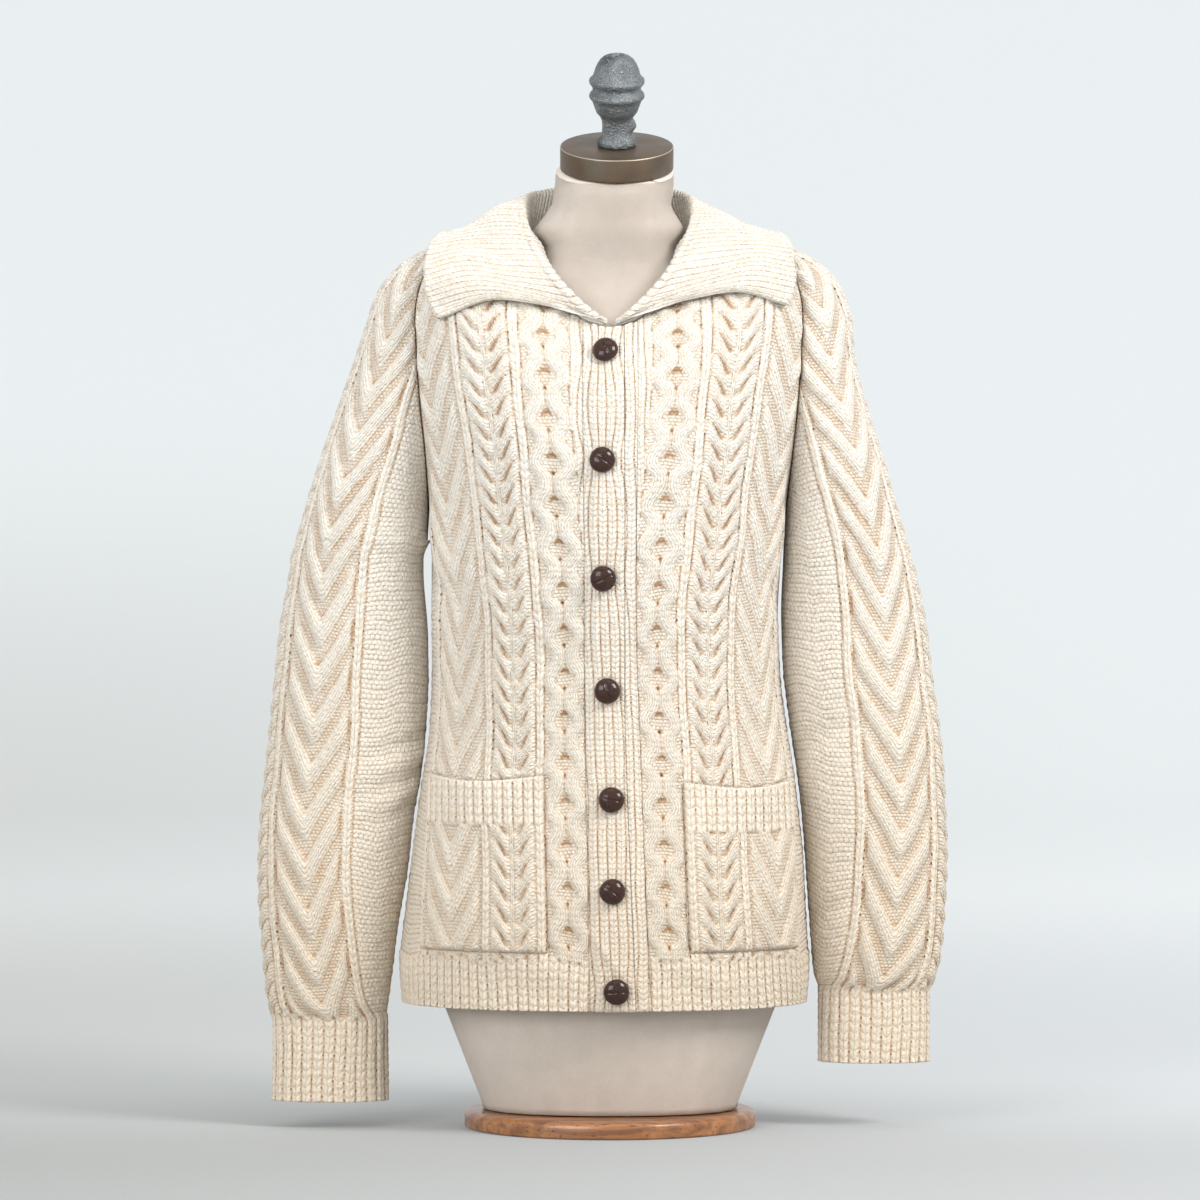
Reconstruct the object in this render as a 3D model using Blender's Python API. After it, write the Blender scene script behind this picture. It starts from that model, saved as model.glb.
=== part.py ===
"""Cable knit cardigan on a dress form. Lengths in the tables are millimetres; the solids are in metres.

The wearer's left is +X, the front faces -Y, the floor is z = 0.
A "level" names a ring of the body: below the underarm it is the height z, above it the height of the
ring's front centre, because the rings of the yoke rise towards the shoulders.
"""

import math

import bmesh
import bpy
import numpy as np
from mathutils import Vector
from mathutils.bvhtree import BVHTree

MM = 0.001
WALL = 3.0  # knitted wall without its relief
GAP = 0.2  # half the gap at a seam
HEM = 110.0  # level of the hem's edge
HEM_TOP = 152.0  # level where the hem's rib ends
UNDERARM = 515.0
NECK = 695.0  # level of the neck edge
EXPONENT = 2.2  # of the body's curve seen from above
RIB_HIGH = 1.8
CABLE_HIGH = 3.0
RIB_PITCH = 9.2
SEAM_PLAIN = 5.5  # no column runs nearer to a seam than this

TORSO_NAMES = "level front_y back_y seam_left seam_right front_seam_z back_seam_z back_z power".split()
TORSO = (
    (100, -126, 112, 170, 180, 100, 100, 100, 1.5),
    (150, -129, 115, 173, 183, 150, 150, 150, 1.5),
    (200, -132, 118, 171, 178, 200, 200, 200, 1.5),
    (245, -129, 116, 168, 172, 245, 245, 245, 1.5),
    (300, -125, 108, 162, 165, 300, 300, 300, 1.5),
    (345, -121, 100, 155, 158, 345, 345, 345, 1.5),
    (400, -120, 96, 149, 156, 400, 400, 400, 1.5),
    (443, -125, 96, 147.5, 156.5, 443, 443, 443, 1.5),
    (497, -130, 101, 150, 157, 497, 497, 497, 1.5),
    (515, -131, 104, 152.5, 158, 515, 515, 515, 1.5),
    (533, -132, 105, 155, 159, 552, 552, 552, 1.5),
    (553, -133, 106, 159, 161, 590, 590, 590, 1.5),
    (578, -133, 106, 163, 165, 632, 632, 628, 1.5),
    (602, -131, 107, 166, 168, 675, 675, 664, 1.5),
    (625, -128, 105, 167, 169, 712, 712, 697, 1.5),
    (645, -124, 101, 162, 164, 738, 740, 724, 1.4),
    (661, -119, 95, 149, 151, 756, 758, 748, 1.2),
    (676, -112, 86, 126, 126, 765, 769, 771, 1.0),
    (686, -105, 75, 97, 97, 770, 779, 787, 0.85),
    (695, -99, 62, 70, 70, 772, 786, 800, 0.75),
)
YOKE_NAMES = "level phi depth side_x_left side_z_left side_x_right side_z_right".split()
YOKE = (
    (515, 180, 59, 259, 515, 274, 515),
    (533, 160, 60, 248, 553, 263, 553),
    (553, 138, 61, 237, 590, 251, 590),
    (578, 120, 61, 224, 632, 238, 628),
    (602, 108, 60, 213, 675, 223, 670),
    (625, 100, 58, 210, 709, 213, 700),
    (645, 95, 54, 200, 737, 203, 730),
    (661, 92, 48, 178, 759, 178, 758),
    (676, 90, 42, 143, 774, 143, 774),
    (686, 90, 36, 108, 783, 108, 783),
    (695, 90, 30, 84, 789, 84, 789),
)
ARM_NAMES = "level centre half depth y".split()
ARM_LEFT = (
    (50, 231.7, 47.5, 26, -6),
    (118, 231.7, 47.5, 27, -6),
    (134, 232.7, 53, 33, -6),
    (163, 234, 57, 37, -6),
    (242, 232.8, 61.2, 42, -5),
    (300, 229.5, 63, 45, -4),
    (361, 222.5, 64.5, 47, -3),
    (400, 217, 64, 49, -2),
    (443, 213, 62, 52, -1),
    (495, 208.6, 56.4, 57, 0),
    (515, 205.95, 53.05, 59, 0),
)
ARM_RIGHT = (
    (15, 245.5, 50, 26, -6),
    (93, 245.5, 49, 27, -6),
    (110, 247.2, 52, 32, -6),
    (163, 246.8, 58.3, 37, -6),
    (229, 242.6, 64.4, 42, -5),
    (268, 240, 66, 44, -4),
    (321, 233, 67.5, 46, -3),
    (374, 228.4, 67, 48, -2),
    (427, 224.8, 64.3, 52, -1),
    (497, 221.4, 57.7, 57, 0),
    (515, 214.7, 59.3, 59, 0),
)
CUFF = {"left": (57.0, 121.0), "right": (23.0, 96.0)}  # levels of a cuff's edge and top
# Where the fronts end, the plain strip beside that, how far the knit's columns fan, and the bands' free edges
FRONT_NAMES = "level edge_left edge_right strip fan over_free under_free".split()
FRONT = (
    (100, 36, 17, 0, 1.02, 22, -2),
    (200, 31, 19, 0, 1.0, 18, -4),
    (300, 27, 21, 0, 1.0, 14, -7),
    (380, 24, 22, 0, 0.98, 12, -8),
    (450, 22, 22, 1, 1.0, 12, -8),
    (560, 23, 23, 6, 1.13, 12, -8),
    (645, 24, 24, 12, 1.24, 12, -8),
    (695, 24, 24, 14, 1.27, 12, -8),
)
SIGN = {"left": 1, "right": -1}


def smooth_table(names, rows, name, level):
    """The column called name, as a monotone cubic through the rows, at a level."""
    xs = [row[0] for row in rows]
    i = names.index(name)
    ys = [row[i] for row in rows]
    n = len(xs)
    rise = [(ys[k + 1] - ys[k]) / (xs[k + 1] - xs[k]) for k in range(n - 1)]
    k = min(max(sum(1 for x in xs if x <= level) - 1, 0), n - 2)

    def slope(j):
        if j == 0:
            return rise[0]
        if j == n - 1:
            return rise[-1]
        a, b = rise[j - 1], rise[j]
        return 0.0 if a * b <= 0 else 2 * a * b / (a + b)

    h = xs[k + 1] - xs[k]
    t = min(max((level - xs[k]) / h, 0.0), 1.0)
    m0, m1 = slope(k) * h, slope(k + 1) * h
    return (
        ys[k] * (1 + 2 * t) * (1 - t) ** 2
        + m0 * t * (1 - t) ** 2
        + ys[k + 1] * t * t * (3 - 2 * t)
        - m1 * t * t * (1 - t)
    )


def torso(name, level):
    return smooth_table(TORSO_NAMES, TORSO, name, level)


def yoke(name, level):
    return smooth_table(YOKE_NAMES, YOKE, name, level)


def front(name, level):
    return smooth_table(FRONT_NAMES, FRONT, name, level)


RINGS = {}


def body_ring(side, face, level):
    """Points of a half ring of the body from its centre to its seam, and their distance from the centre."""
    key = (side, face, round(level, 2))
    if key in RINGS:
        return RINGS[key]
    reach = torso("front_y" if face == "front" else "back_y", level)
    seam_x = torso("seam_" + side, level)
    seam_z = torso(face + "_seam_z", level)
    centre_z = level if face == "front" else torso("back_z", level)
    power = torso("power", level)
    seam_y = 0.0
    if level > UNDERARM:
        seam_y = yoke("depth", level) * math.sin(math.radians(yoke("phi", level)))
    share = (1 - min(seam_y / abs(reach), 0.99) ** EXPONENT) ** (1 / EXPONENT)
    far_x = seam_x / share
    last = math.asin(min(share ** (EXPONENT / 2), 1.0))
    angle = np.linspace(0, last, 81)
    x = far_x * np.sin(angle) ** (2 / EXPONENT)
    y = reach * np.clip(np.cos(angle), 0, 1) ** (2 / EXPONENT)
    w = np.clip(x / seam_x, 0, 1)
    z = seam_z + (centre_z - seam_z) * np.clip(np.cos(w * math.pi / 2), 0, 1) ** power
    points = np.stack([SIGN[side] * x, y, z], 1)
    along = np.concatenate([[0], np.cumsum(np.hypot(np.diff(x), np.diff(y)))])
    RINGS[key] = (points, along)
    return RINGS[key]


def arm_ring(side, level):
    """Points round a sleeve from its top line to the front seam and the back seam, with signed distance."""
    key = (side, "arm", round(level, 2))
    if key in RINGS:
        return RINGS[key]
    if level >= UNDERARM:
        phi = math.radians(yoke("phi", level))
        depth = yoke("depth", level)
        seam_x = torso("seam_" + side, level) + 2 * GAP
        side_x = yoke("side_x_" + side, level)
        wide = (side_x - seam_x) / (1 - math.cos(phi))
        angle = np.linspace(-phi, phi, 121)
        x = side_x - wide + wide * np.cos(angle)
        y = -depth * np.sin(angle)
        top_z = yoke("side_z_" + side, level)
        part = (1 - np.cos(angle)) / (1 - math.cos(phi))
        seam_z = np.where(angle > 0, torso("front_seam_z", level), torso("back_seam_z", level))
        z = top_z + (seam_z - top_z) * part
    else:
        rows = ARM_LEFT if side == "left" else ARM_RIGHT
        angle = np.linspace(-math.pi, math.pi, 121)
        x = smooth_table(ARM_NAMES, rows, "centre", level)
        x = x + smooth_table(ARM_NAMES, rows, "half", level) * np.cos(angle)
        y = smooth_table(ARM_NAMES, rows, "y", level)
        y = y - smooth_table(ARM_NAMES, rows, "depth", level) * np.sin(angle)
        z = np.full(121, level)
    points = np.stack([SIGN[side] * x, y, z], 1)
    along = np.concatenate([[0], np.cumsum(np.hypot(np.diff(x), np.diff(y)))])
    RINGS[key] = (points, along - along[60])
    return RINGS[key]


def ring_of(side, face, level):
    return arm_ring(side, level) if face == "arm" else body_ring(side, face, level)


def place(side, face, level, distance):
    points, along = ring_of(side, face, level)
    return np.array([np.interp(distance, along, points[:, i]) for i in range(3)])


def outward(side, face, level, distance):
    """The unit normal of the wall's outer face, from small steps along and across the ring."""
    points, along = ring_of(side, face, level)
    near = min(max(distance, along[0] + 1.5), along[-1] - 1.5)
    across = place(side, face, level, near + 1.5) - place(side, face, level, near - 1.5)
    low, high = max(level - 3, 15.0), min(level + 3, NECK)
    if face != "arm":
        low = max(low, 100.0)
    share = (near - along[0]) / (along[-1] - along[0])
    ends = []
    for at in (low, high):
        other = ring_of(side, face, at)[1]
        ends.append(place(side, face, at, other[0] + share * (other[-1] - other[0])))
    n = np.cross(across, ends[1] - ends[0])
    n = n / max(np.linalg.norm(n), 1e-9)
    here = place(side, face, level, near)
    if face == "arm":
        inside = points.mean(0)
        inside[2] -= 60 if level > UNDERARM + 100 else 0
    else:
        inside = np.array([0, 0, here[2] - (120 if level > 640 else 0)])
    return n if np.dot(n, here - inside) > 0 else -n


def edge_distance(side, face, level):
    return 9.0 if face == "back" else front("edge_" + side, level)


def column_distance(side, face, level, u):
    """How far from the centre a knit column lies; u is its place in the flat pattern."""
    strip = 0.0 if face == "back" else front("strip", level)
    return edge_distance(side, face, level) + strip + (u - 22) * front("fan", level)


def half_round(side, level):
    """Half the way round a sleeve, measured on its front."""
    return float(arm_ring(side, level)[1][-1])


def sleeve_distance(side, level, u):
    """u over 200 is a share of the plain part beside the underarm seam, 300 the seam itself."""
    if u <= 200:
        return u
    return 102 + (u - 200) / 100 * (half_round(side, min(level, UNDERARM)) - 102)


class Body:
    """The points and faces of one closed wall, in millimetres."""

    def __init__(self):
        self.points = []
        self.faces = []

    def add(self, p):
        self.points.append(np.array(p, float))
        return len(self.points) - 1

    def face(self, *corners):
        if len(set(corners)) == len(corners):
            self.faces.append(corners)

    def zip_keys(self, a, b, key_a, key_b):
        """Triangles between two lines of points, in the order of their keys."""
        i = j = 0
        while i < len(a) - 1 or j < len(b) - 1:
            if j == len(b) - 1 or (i < len(a) - 1 and key_a[i + 1] <= key_b[j + 1]):
                self.face(a[i], a[i + 1], b[j])
                i += 1
            else:
                self.face(a[i], b[j + 1], b[j])
                j += 1

    def zip_near(self, a, b):
        """Triangles between two lines of points, each time by the shorter diagonal."""
        i = j = 0
        p = self.points
        while i < len(a) - 1 or j < len(b) - 1:
            step_a = step_b = 1e9
            if i < len(a) - 1:
                step_a = np.linalg.norm(p[a[i + 1]] - p[b[j]])
            if j < len(b) - 1:
                step_b = np.linalg.norm(p[b[j + 1]] - p[a[i]])
            if step_a <= step_b:
                self.face(a[i], a[i + 1], b[j])
                i += 1
            else:
                self.face(a[i], b[j + 1], b[j])
                j += 1

    def zip_parts(self, a, b, corners):
        """zip_near, held at the corners (places in b) to the nearest point of a."""
        p = self.points
        i0 = j0 = 0
        for corner in [*corners, len(b) - 1]:
            i1 = len(a) - 1
            if corner < len(b) - 1:
                far = [np.linalg.norm(p[k] - p[b[corner]]) for k in a[i0:]]
                i1 = i0 + int(np.argmin(far))
            self.zip_near(a[i0 : i1 + 1], b[j0 : corner + 1])
            i0, j0 = i1, corner

    def make(self, name, material):
        mesh = bpy.data.meshes.new(name)
        mesh.from_pydata([Vector(q) * MM for q in self.points], [], self.faces)
        o = bpy.data.objects.new(name, mesh)
        bpy.context.scene.collection.objects.link(o)
        b = bmesh.new()
        b.from_mesh(mesh)
        bmesh.ops.triangulate(b, faces=[f for f in b.faces if len(f.verts) > 3])
        loose = [v for v in b.verts if not v.link_faces]
        bmesh.ops.delete(b, geom=loose, context="VERTS")
        bmesh.ops.recalc_face_normals(b, faces=b.faces[:])
        if b.calc_volume(signed=True) < 0:
            bmesh.ops.reverse_faces(b, faces=b.faces[:])
        b.to_mesh(mesh)
        b.free()
        mesh.materials.append(material)
        return o


PATHS = {}


def path_of(side, face, u, bottom, top=NECK - 4):
    """Levels up a column and the distance along it from the bottom, as far as the seam lets it run."""
    key = (side, face, u, bottom, top)
    if key in PATHS:
        return PATHS[key]
    levels, points = [], []
    for level in np.append(np.arange(bottom, top, 4.0), top):
        total = ring_of(side, face, level)[1][-1]
        at = distance_of(side, face, level, u)
        inside = abs(u) == 300 and level < UNDERARM - 4
        if not inside and abs(at) > total - SEAM_PLAIN:
            break
        levels.append(level)
        points.append(place(side, face, level, at))
    steps = np.linalg.norm(np.diff(np.array(points), axis=0), axis=1)
    PATHS[key] = (np.array(levels), np.concatenate([[0], np.cumsum(steps)]))
    return PATHS[key]


def distance_of(side, face, level, u):
    if face == "arm":
        return math.copysign(sleeve_distance(side, level, abs(u)), u)
    if u == 0:
        return edge_distance(side, face, level) if face == "front" else 0.0
    return column_distance(side, face, level, u)


def plain(u, high, step=48.0):
    return ("plain", u, high, step, 0.0)


def ring_lines(centre, pitch=37.0):
    """Two strands that part round a ring and cross between the rings."""
    return [("ring", centre, place_in, pitch, 0.0) for place_in in (-1, 0, 1)]


def rope_lines(inner, wide, twist, pitch=19.0):
    """A rope of strands that climb across it, towards the outside with twist 1."""
    return [("rope", inner + share * wide, twist * share * pitch, pitch, 0.0) for share in (0.3, 0.7)]


def chevron_lines(centre, half, slope=1.9, pitch=42.0):
    places = [half * share for share in (-1, -0.6, 0, 0.6, 1)]
    return [("chevron", centre + d, abs(d) * slope, pitch, abs(d) / half) for d in places]


def rows_of(kind, value, up, start):
    """The rows of one column, for a kind of pattern: (distance up, shift across, height)."""
    if kind == "plain":
        count = max(int(round((up - start) / value[3])), 1)
        return [(start + (up - start) * k / count, 0.0, value[2]) for k in range(count + 1)]
    pitch = value[3]
    rows = []
    if kind == "ring":
        shape = ((0.0, 3.5, 3.2, 3.2), (0.33, 9.8, 3.0, 0.4), (0.67, 9.8, 3.0, 0.4))
        for k in range(int(up / pitch) + 2):
            for part, wide, strand, middle in shape:
                high = middle if value[2] == 0 else strand
                rows.append(((k + part) * pitch, value[2] * wide, high))
    if kind == "rope":
        for k in range(-2, int(up / pitch) + 4):
            rows.append((k * pitch + value[2], 0.0, CABLE_HIGH))
            rows.append(((k + 0.5) * pitch + value[2], 0.0, 1.1))
    if kind == "chevron":
        high = CABLE_HIGH * (0.35 if value[4] > 0.99 else 1.0)
        for k in range(-3, int(up / pitch) + 3):
            for part, raised in ((-9.5, 0.0), (0.0, high), (9.5, 0.0)):
                rows.append((k * pitch + value[2] + part, 0.0, raised))
    return [r for r in rows if start + 2 < r[0] < up - 2]


def lines_for(side, face, layout, bottom, top=NECK - 4, sign=1):
    """The layout's columns with their rows, as far as each one runs; sign -1 is the back of a sleeve."""
    made = []
    for value in layout:
        kind, u = value[0], sign * value[1]
        levels, ups = path_of(side, face, u, bottom, top)
        up = ups[-1]
        if up < 25:
            continue
        rows = rows_of(kind, value, up, 0.0)
        if kind != "plain":
            rows = [(0.0, 0.0, 0.0), *rows, (up, 0.0, 0.0)]
        lean = value[2] if kind in ("rope", "chevron") else 0.0
        made.append({"kind": kind, "u": u, "rows": rows, "lean": lean, "levels": levels, "ups": ups})
    return made


def raised_point(side, face, level, at, high):
    return place(side, face, level, at) + high * outward(side, face, level, at)


def nothing_on(side, face, u, level):
    return False


def no_base(side, level, at):
    return 0.0


def put_line(body, side, face, line, under, base=no_base):
    """Adds a line's points to the body; under is true where a patch lies on it, so it stays plain."""
    ids, keys, covered = [], [], []
    for up, _, _ in line["rows"]:
        level = float(np.interp(up, line["ups"], line["levels"]))
        covered.append(under(side, face, line["u"], level))
    last = -99.0
    for k, (up, shift, high) in enumerate(line["rows"]):
        level = float(np.interp(up, line["ups"], line["levels"]))
        at = distance_of(side, face, level, line["u"])
        at += shift * (1 if at >= 0 else -1)
        p = place(side, face, level, at)
        if covered[k]:
            high = 0.0
            inner = 0 < k < len(covered) - 1 and covered[k - 1] and covered[k + 1]
            if inner and up - last < COVERED_STEP:
                continue
            last = up
        high += base(side, level, at)
        ids.append(body.add(p + high * outward(side, face, level, at)))
        keys.append(up)
    return {"ids": ids, "keys": np.array(keys), "lean": line["lean"], "kind": line["kind"]}


def plain_line(ids, keys):
    return {"ids": ids, "keys": np.array(keys), "lean": 0.0, "kind": "plain"}


def join_lines(body, lines):
    """Strips between neighbouring lines. Lines of one slanting pattern are matched along its slant."""
    for a, b in zip(lines, lines[1:]):
        same = a["kind"] == b["kind"] and a["kind"] in ("rope", "chevron")
        key_a = a["keys"] - (a["lean"] if same else 0)
        key_b = b["keys"] - (b["lean"] if same else 0)
        body.zip_keys(a["ids"], b["ids"], key_a, key_b)


NECK_STEPS = {"front": 5, "arm": 4, "back": 4}  # stretches of the neck's edge on each side
SIDE_LEVELS = (200, 245, 300, 345, 400, 443, 480)
SEAM_LEVELS = (515, 533, 553, 578, 602, 625, 645, 661, 676, 686, 695)
SMOOTH_FROM = 600.0  # level over which the two faces at an armhole seam run on smoothly, by 45 mm higher


def seam_end(side, face, level, back):
    """The distance at which a ring meets the front or the back armhole seam."""
    ring = ring_of(side, face, level)[1]
    return ring[0] if face == "arm" and back else ring[-1]


def seam_inward(side, face, level, back):
    """Which way the wall goes in at a seam: both pieces share it where their faces run on smoothly."""
    own = outward(side, face, level, seam_end(side, face, level, back))
    if level < SMOOTH_FROM:
        return -own
    other_face = "arm" if face != "arm" else ("back" if back else "front")
    other = outward(side, other_face, level, seam_end(side, other_face, level, back))
    both = own + other
    both = both / np.linalg.norm(both)
    share = min((level - SMOOTH_FROM) / 45, 1.0)
    mixed = own * (1 - share) + both * share
    return -mixed / np.linalg.norm(mixed)


def rib_rim(body, side, face, level, start, stop, count, high):
    """Points across a rib at one level, valleys and ridges by turns."""
    ids = []
    for k in range(count + 1):
        at = start + (stop - start) * k / count
        raised = high if k % 2 else 0.0
        ids.append(body.add(raised_point(side, face, level, at, raised)))
    return ids


# The fronts' and the back's columns, from the closing edge or the back's centre to the side seam
LAYOUT = [
    *ring_lines(39.5),
    plain(57, 0.0),
    plain(61.5, RIB_HIGH),
    plain(66, 0.0),
    *rope_lines(66, 20, -1),
    plain(86, 0.3),
    *rope_lines(86, 20, 1),
    plain(106, 0.0),
    plain(110.5, RIB_HIGH),
    *chevron_lines(146, 29),
    plain(181.5, RIB_HIGH),
    plain(187, 0.0),
    plain(205, 0.0, 50.0),
]
INNER_LAYOUT = [plain(60, 0.0, 50.0), plain(100, 0.0, 50.0), plain(146, 0.0, 50.0), plain(190, 0.0, 50.0)]
SLEEVE_LAYOUT = [
    *rope_lines(0, 22, 1),
    plain(22, 0.0),
    plain(26.5, RIB_HIGH),
    *chevron_lines(62, 29),
    plain(97.5, RIB_HIGH),
    plain(103, 0.0),
    plain(233, 0.0, 45.0),
    plain(267, 0.0, 45.0),
]
SLEEVE_INNER = [plain(30, 0.0, 50.0), plain(65, 0.0, 50.0), plain(100, 0.0, 50.0), plain(250, 0.0, 50.0)]

COVERED_STEP = 27.0  # rows under a pocket, where the front is plain
POCKET = {"left": (305.0, 160.0), "right": (311.0, 160.0)}  # top and bottom heights z
POCKET_U = {"left": (57.5, 179.0), "right": (57.5, 183.0)}


def under_pocket(side, face, u, level):
    if face != "front":
        return False
    top, bottom = POCKET[side]
    first, last = POCKET_U[side]
    return first - 3 <= u <= last + 5 and bottom - 16 < level < top + 15


def seam_station(body, side, face, level, back):
    """The outer and inner points of a panel's edge at a seam."""
    at = seam_end(side, face, level, back)
    at += GAP if face == "arm" and back else -GAP
    p = place(side, face, level, at)
    return body.add(p), body.add(p + WALL * seam_inward(side, face, level, back))


def neck_stations(body, side, face, distances):
    out, inn = [], []
    for at in distances:
        p = place(side, face, NECK, at)
        out.append(body.add(p))
        inn.append(body.add(p - WALL * outward(side, face, NECK, at)))
    return out, inn


def build_half(body, side, face):
    """The lines of one half of a body panel, outer and inner, with its seam edge and its neck edge."""
    bottom = HEM_TOP + 4
    lines = [put_line(body, side, face, line, under_pocket) for line in lines_for(side, face, LAYOUT, bottom)]
    inner = []
    for line in lines_for(side, face, INNER_LAYOUT, HEM):
        ids, ats = [], []
        for up, _, _ in line["rows"]:
            level = float(np.interp(up, line["ups"], line["levels"]))
            at = distance_of(side, face, level, line["u"])
            ids.append(body.add(raised_point(side, face, level, at, -WALL)))
            ats.append(up)
        inner.append(plain_line(ids, ats))
    out_seam, in_seam = [], []
    back = face == "back"
    for level in (HEM, HEM_TOP, *SIDE_LEVELS, *SEAM_LEVELS):
        a, b = seam_station(body, side, face, level, back)
        out_seam.append(a)
        in_seam.append(b)
    total = ring_of(side, face, NECK)[1][-1]
    first = 0.0 if face == "back" else edge_distance(side, face, NECK)
    stations = np.linspace(total - GAP, first, NECK_STEPS[face] + 1)[1:-1]
    out_neck, in_neck = neck_stations(body, side, face, stations)
    return {
        "lines": lines,
        "inner": inner,
        "out_seam": out_seam,
        "in_seam": in_seam,
        "out_neck": out_neck,
        "in_neck": in_neck,
    }


def hem_lines(body, side, face, start):
    """Two rows of rib points from the closing edge or centre to the side seam, without their ends."""
    rows = []
    for level in (HEM, HEM_TOP):
        stop = ring_of(side, face, level)[1][-1] - GAP
        if level == HEM:
            count = 2 * int(round((stop - start(level)) / RIB_PITCH)) + 2
        rows.append(rib_rim(body, side, face, level, start(level), stop, count, RIB_HIGH)[1:-1])
    return rows


def edge_rows(top):
    levels = [HEM, HEM_TOP, HEM_TOP + 4]
    count = int(round((top - HEM_TOP - 4) / 38))
    levels += [HEM_TOP + 4 + (top - HEM_TOP - 4) * k / count for k in range(1, count + 1)]
    return levels


def build_front(side):
    """One front: closed by its edge, the hem, the side and armhole seam and the neck."""
    body = Body()
    half = build_half(body, side, "front")
    levels = edge_rows(NECK)
    out_edge, in_edge = [], []
    for level in levels:
        at = edge_distance(side, "front", level)
        out_edge.append(body.add(place(side, "front", level, at)))
        in_edge.append(body.add(raised_point(side, "front", level, at, -WALL)))
    ups = [0.0]
    for a, b in zip(out_edge[2:], out_edge[3:]):
        ups.append(ups[-1] + float(np.linalg.norm(body.points[a] - body.points[b])))
    lines = [plain_line(out_edge[2:], ups), *half["lines"]]
    join_lines(body, lines)
    rim, top_rib = hem_lines(body, side, "front", lambda level: edge_distance(side, "front", level))
    low = [out_edge[0], *rim, half["out_seam"][0]]
    high = [out_edge[1], *top_rib, half["out_seam"][1]]
    for k in range(len(low) - 1):
        body.face(low[k], low[k + 1], high[k + 1], high[k])
    stairs = list(lines[-1]["ids"]) + [line["ids"][-1] for line in lines[-2::-1]]
    bottoms = [line["ids"][0] for line in lines] + [half["out_seam"][1]]
    body.zip_near(high, bottoms)
    seam = half["out_seam"][1:]
    border = seam + half["out_neck"] + [out_edge[-1]]
    body.zip_parts(stairs, border, [len(seam) - 1])
    # inside
    inner = [plain_line(in_edge, np.array(levels) - HEM), *half["inner"]]
    join_lines(body, inner)
    stairs = list(inner[-1]["ids"]) + [line["ids"][-1] for line in inner[-2::-1]]
    border = half["in_seam"] + half["in_neck"] + [in_edge[-1]]
    body.zip_parts(stairs, border, [len(half["in_seam"]) - 1])
    # rims
    for k in range(len(out_edge) - 1):
        body.face(out_edge[k], out_edge[k + 1], in_edge[k + 1], in_edge[k])
    outer = half["out_seam"] + half["out_neck"] + [out_edge[-1]]
    inside = half["in_seam"] + half["in_neck"] + [in_edge[-1]]
    for k in range(len(outer) - 1):
        body.face(outer[k], outer[k + 1], inside[k + 1], inside[k])
    floor = [line["ids"][0] for line in inner] + [half["in_seam"][0]]
    body.zip_near(low, floor)
    return body


def build_back():
    """The back: two mirrored halves that share a centre line."""
    body = Body()
    halves = {}
    for side in ("right", "left"):
        halves[side] = build_half(body, side, "back")
    levels = edge_rows(NECK)
    out_edge, in_edge = [], []
    for level in levels:
        out_edge.append(body.add(raised_point("left", "back", level, 0.0, 0.0)))
        p = place("left", "back", level, 0.0)
        n = outward("left", "back", level, 0.0)
        n[0] = 0
        in_edge.append(body.add(p - WALL * n / np.linalg.norm(n)))
    ups = [0.0]
    for a, b in zip(out_edge[2:], out_edge[3:]):
        ups.append(ups[-1] + float(np.linalg.norm(body.points[a] - body.points[b])))
    centre = plain_line(out_edge[2:], ups)
    inner_centre = plain_line(in_edge, np.array(levels) - HEM)
    for side, half in halves.items():
        lines = [centre, *half["lines"]]
        join_lines(body, lines)
        rim, top_rib = hem_lines(body, side, "back", lambda level: 0.0)
        low = [out_edge[0], *rim, half["out_seam"][0]]
        high = [out_edge[1], *top_rib, half["out_seam"][1]]
        for k in range(len(low) - 1):
            body.face(low[k], low[k + 1], high[k + 1], high[k])
        stairs = list(lines[-1]["ids"]) + [line["ids"][-1] for line in lines[-2::-1]]
        bottoms = [line["ids"][0] for line in lines] + [half["out_seam"][1]]
        body.zip_near(high, bottoms)
        seam = half["out_seam"][1:]
        border = seam + half["out_neck"] + [out_edge[-1]]
        body.zip_parts(stairs, border, [len(seam) - 1])
        inner = [inner_centre, *half["inner"]]
        join_lines(body, inner)
        stairs = list(inner[-1]["ids"]) + [line["ids"][-1] for line in inner[-2::-1]]
        border = half["in_seam"] + half["in_neck"] + [in_edge[-1]]
        body.zip_parts(stairs, border, [len(half["in_seam"]) - 1])
        outer = half["out_seam"] + half["out_neck"] + [out_edge[-1]]
        inside = half["in_seam"] + half["in_neck"] + [in_edge[-1]]
        for k in range(len(outer) - 1):
            body.face(outer[k], outer[k + 1], inside[k + 1], inside[k])
        floor = [line["ids"][0] for line in inner] + [half["in_seam"][0]]
        body.zip_near(low, floor)
    return body


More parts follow.
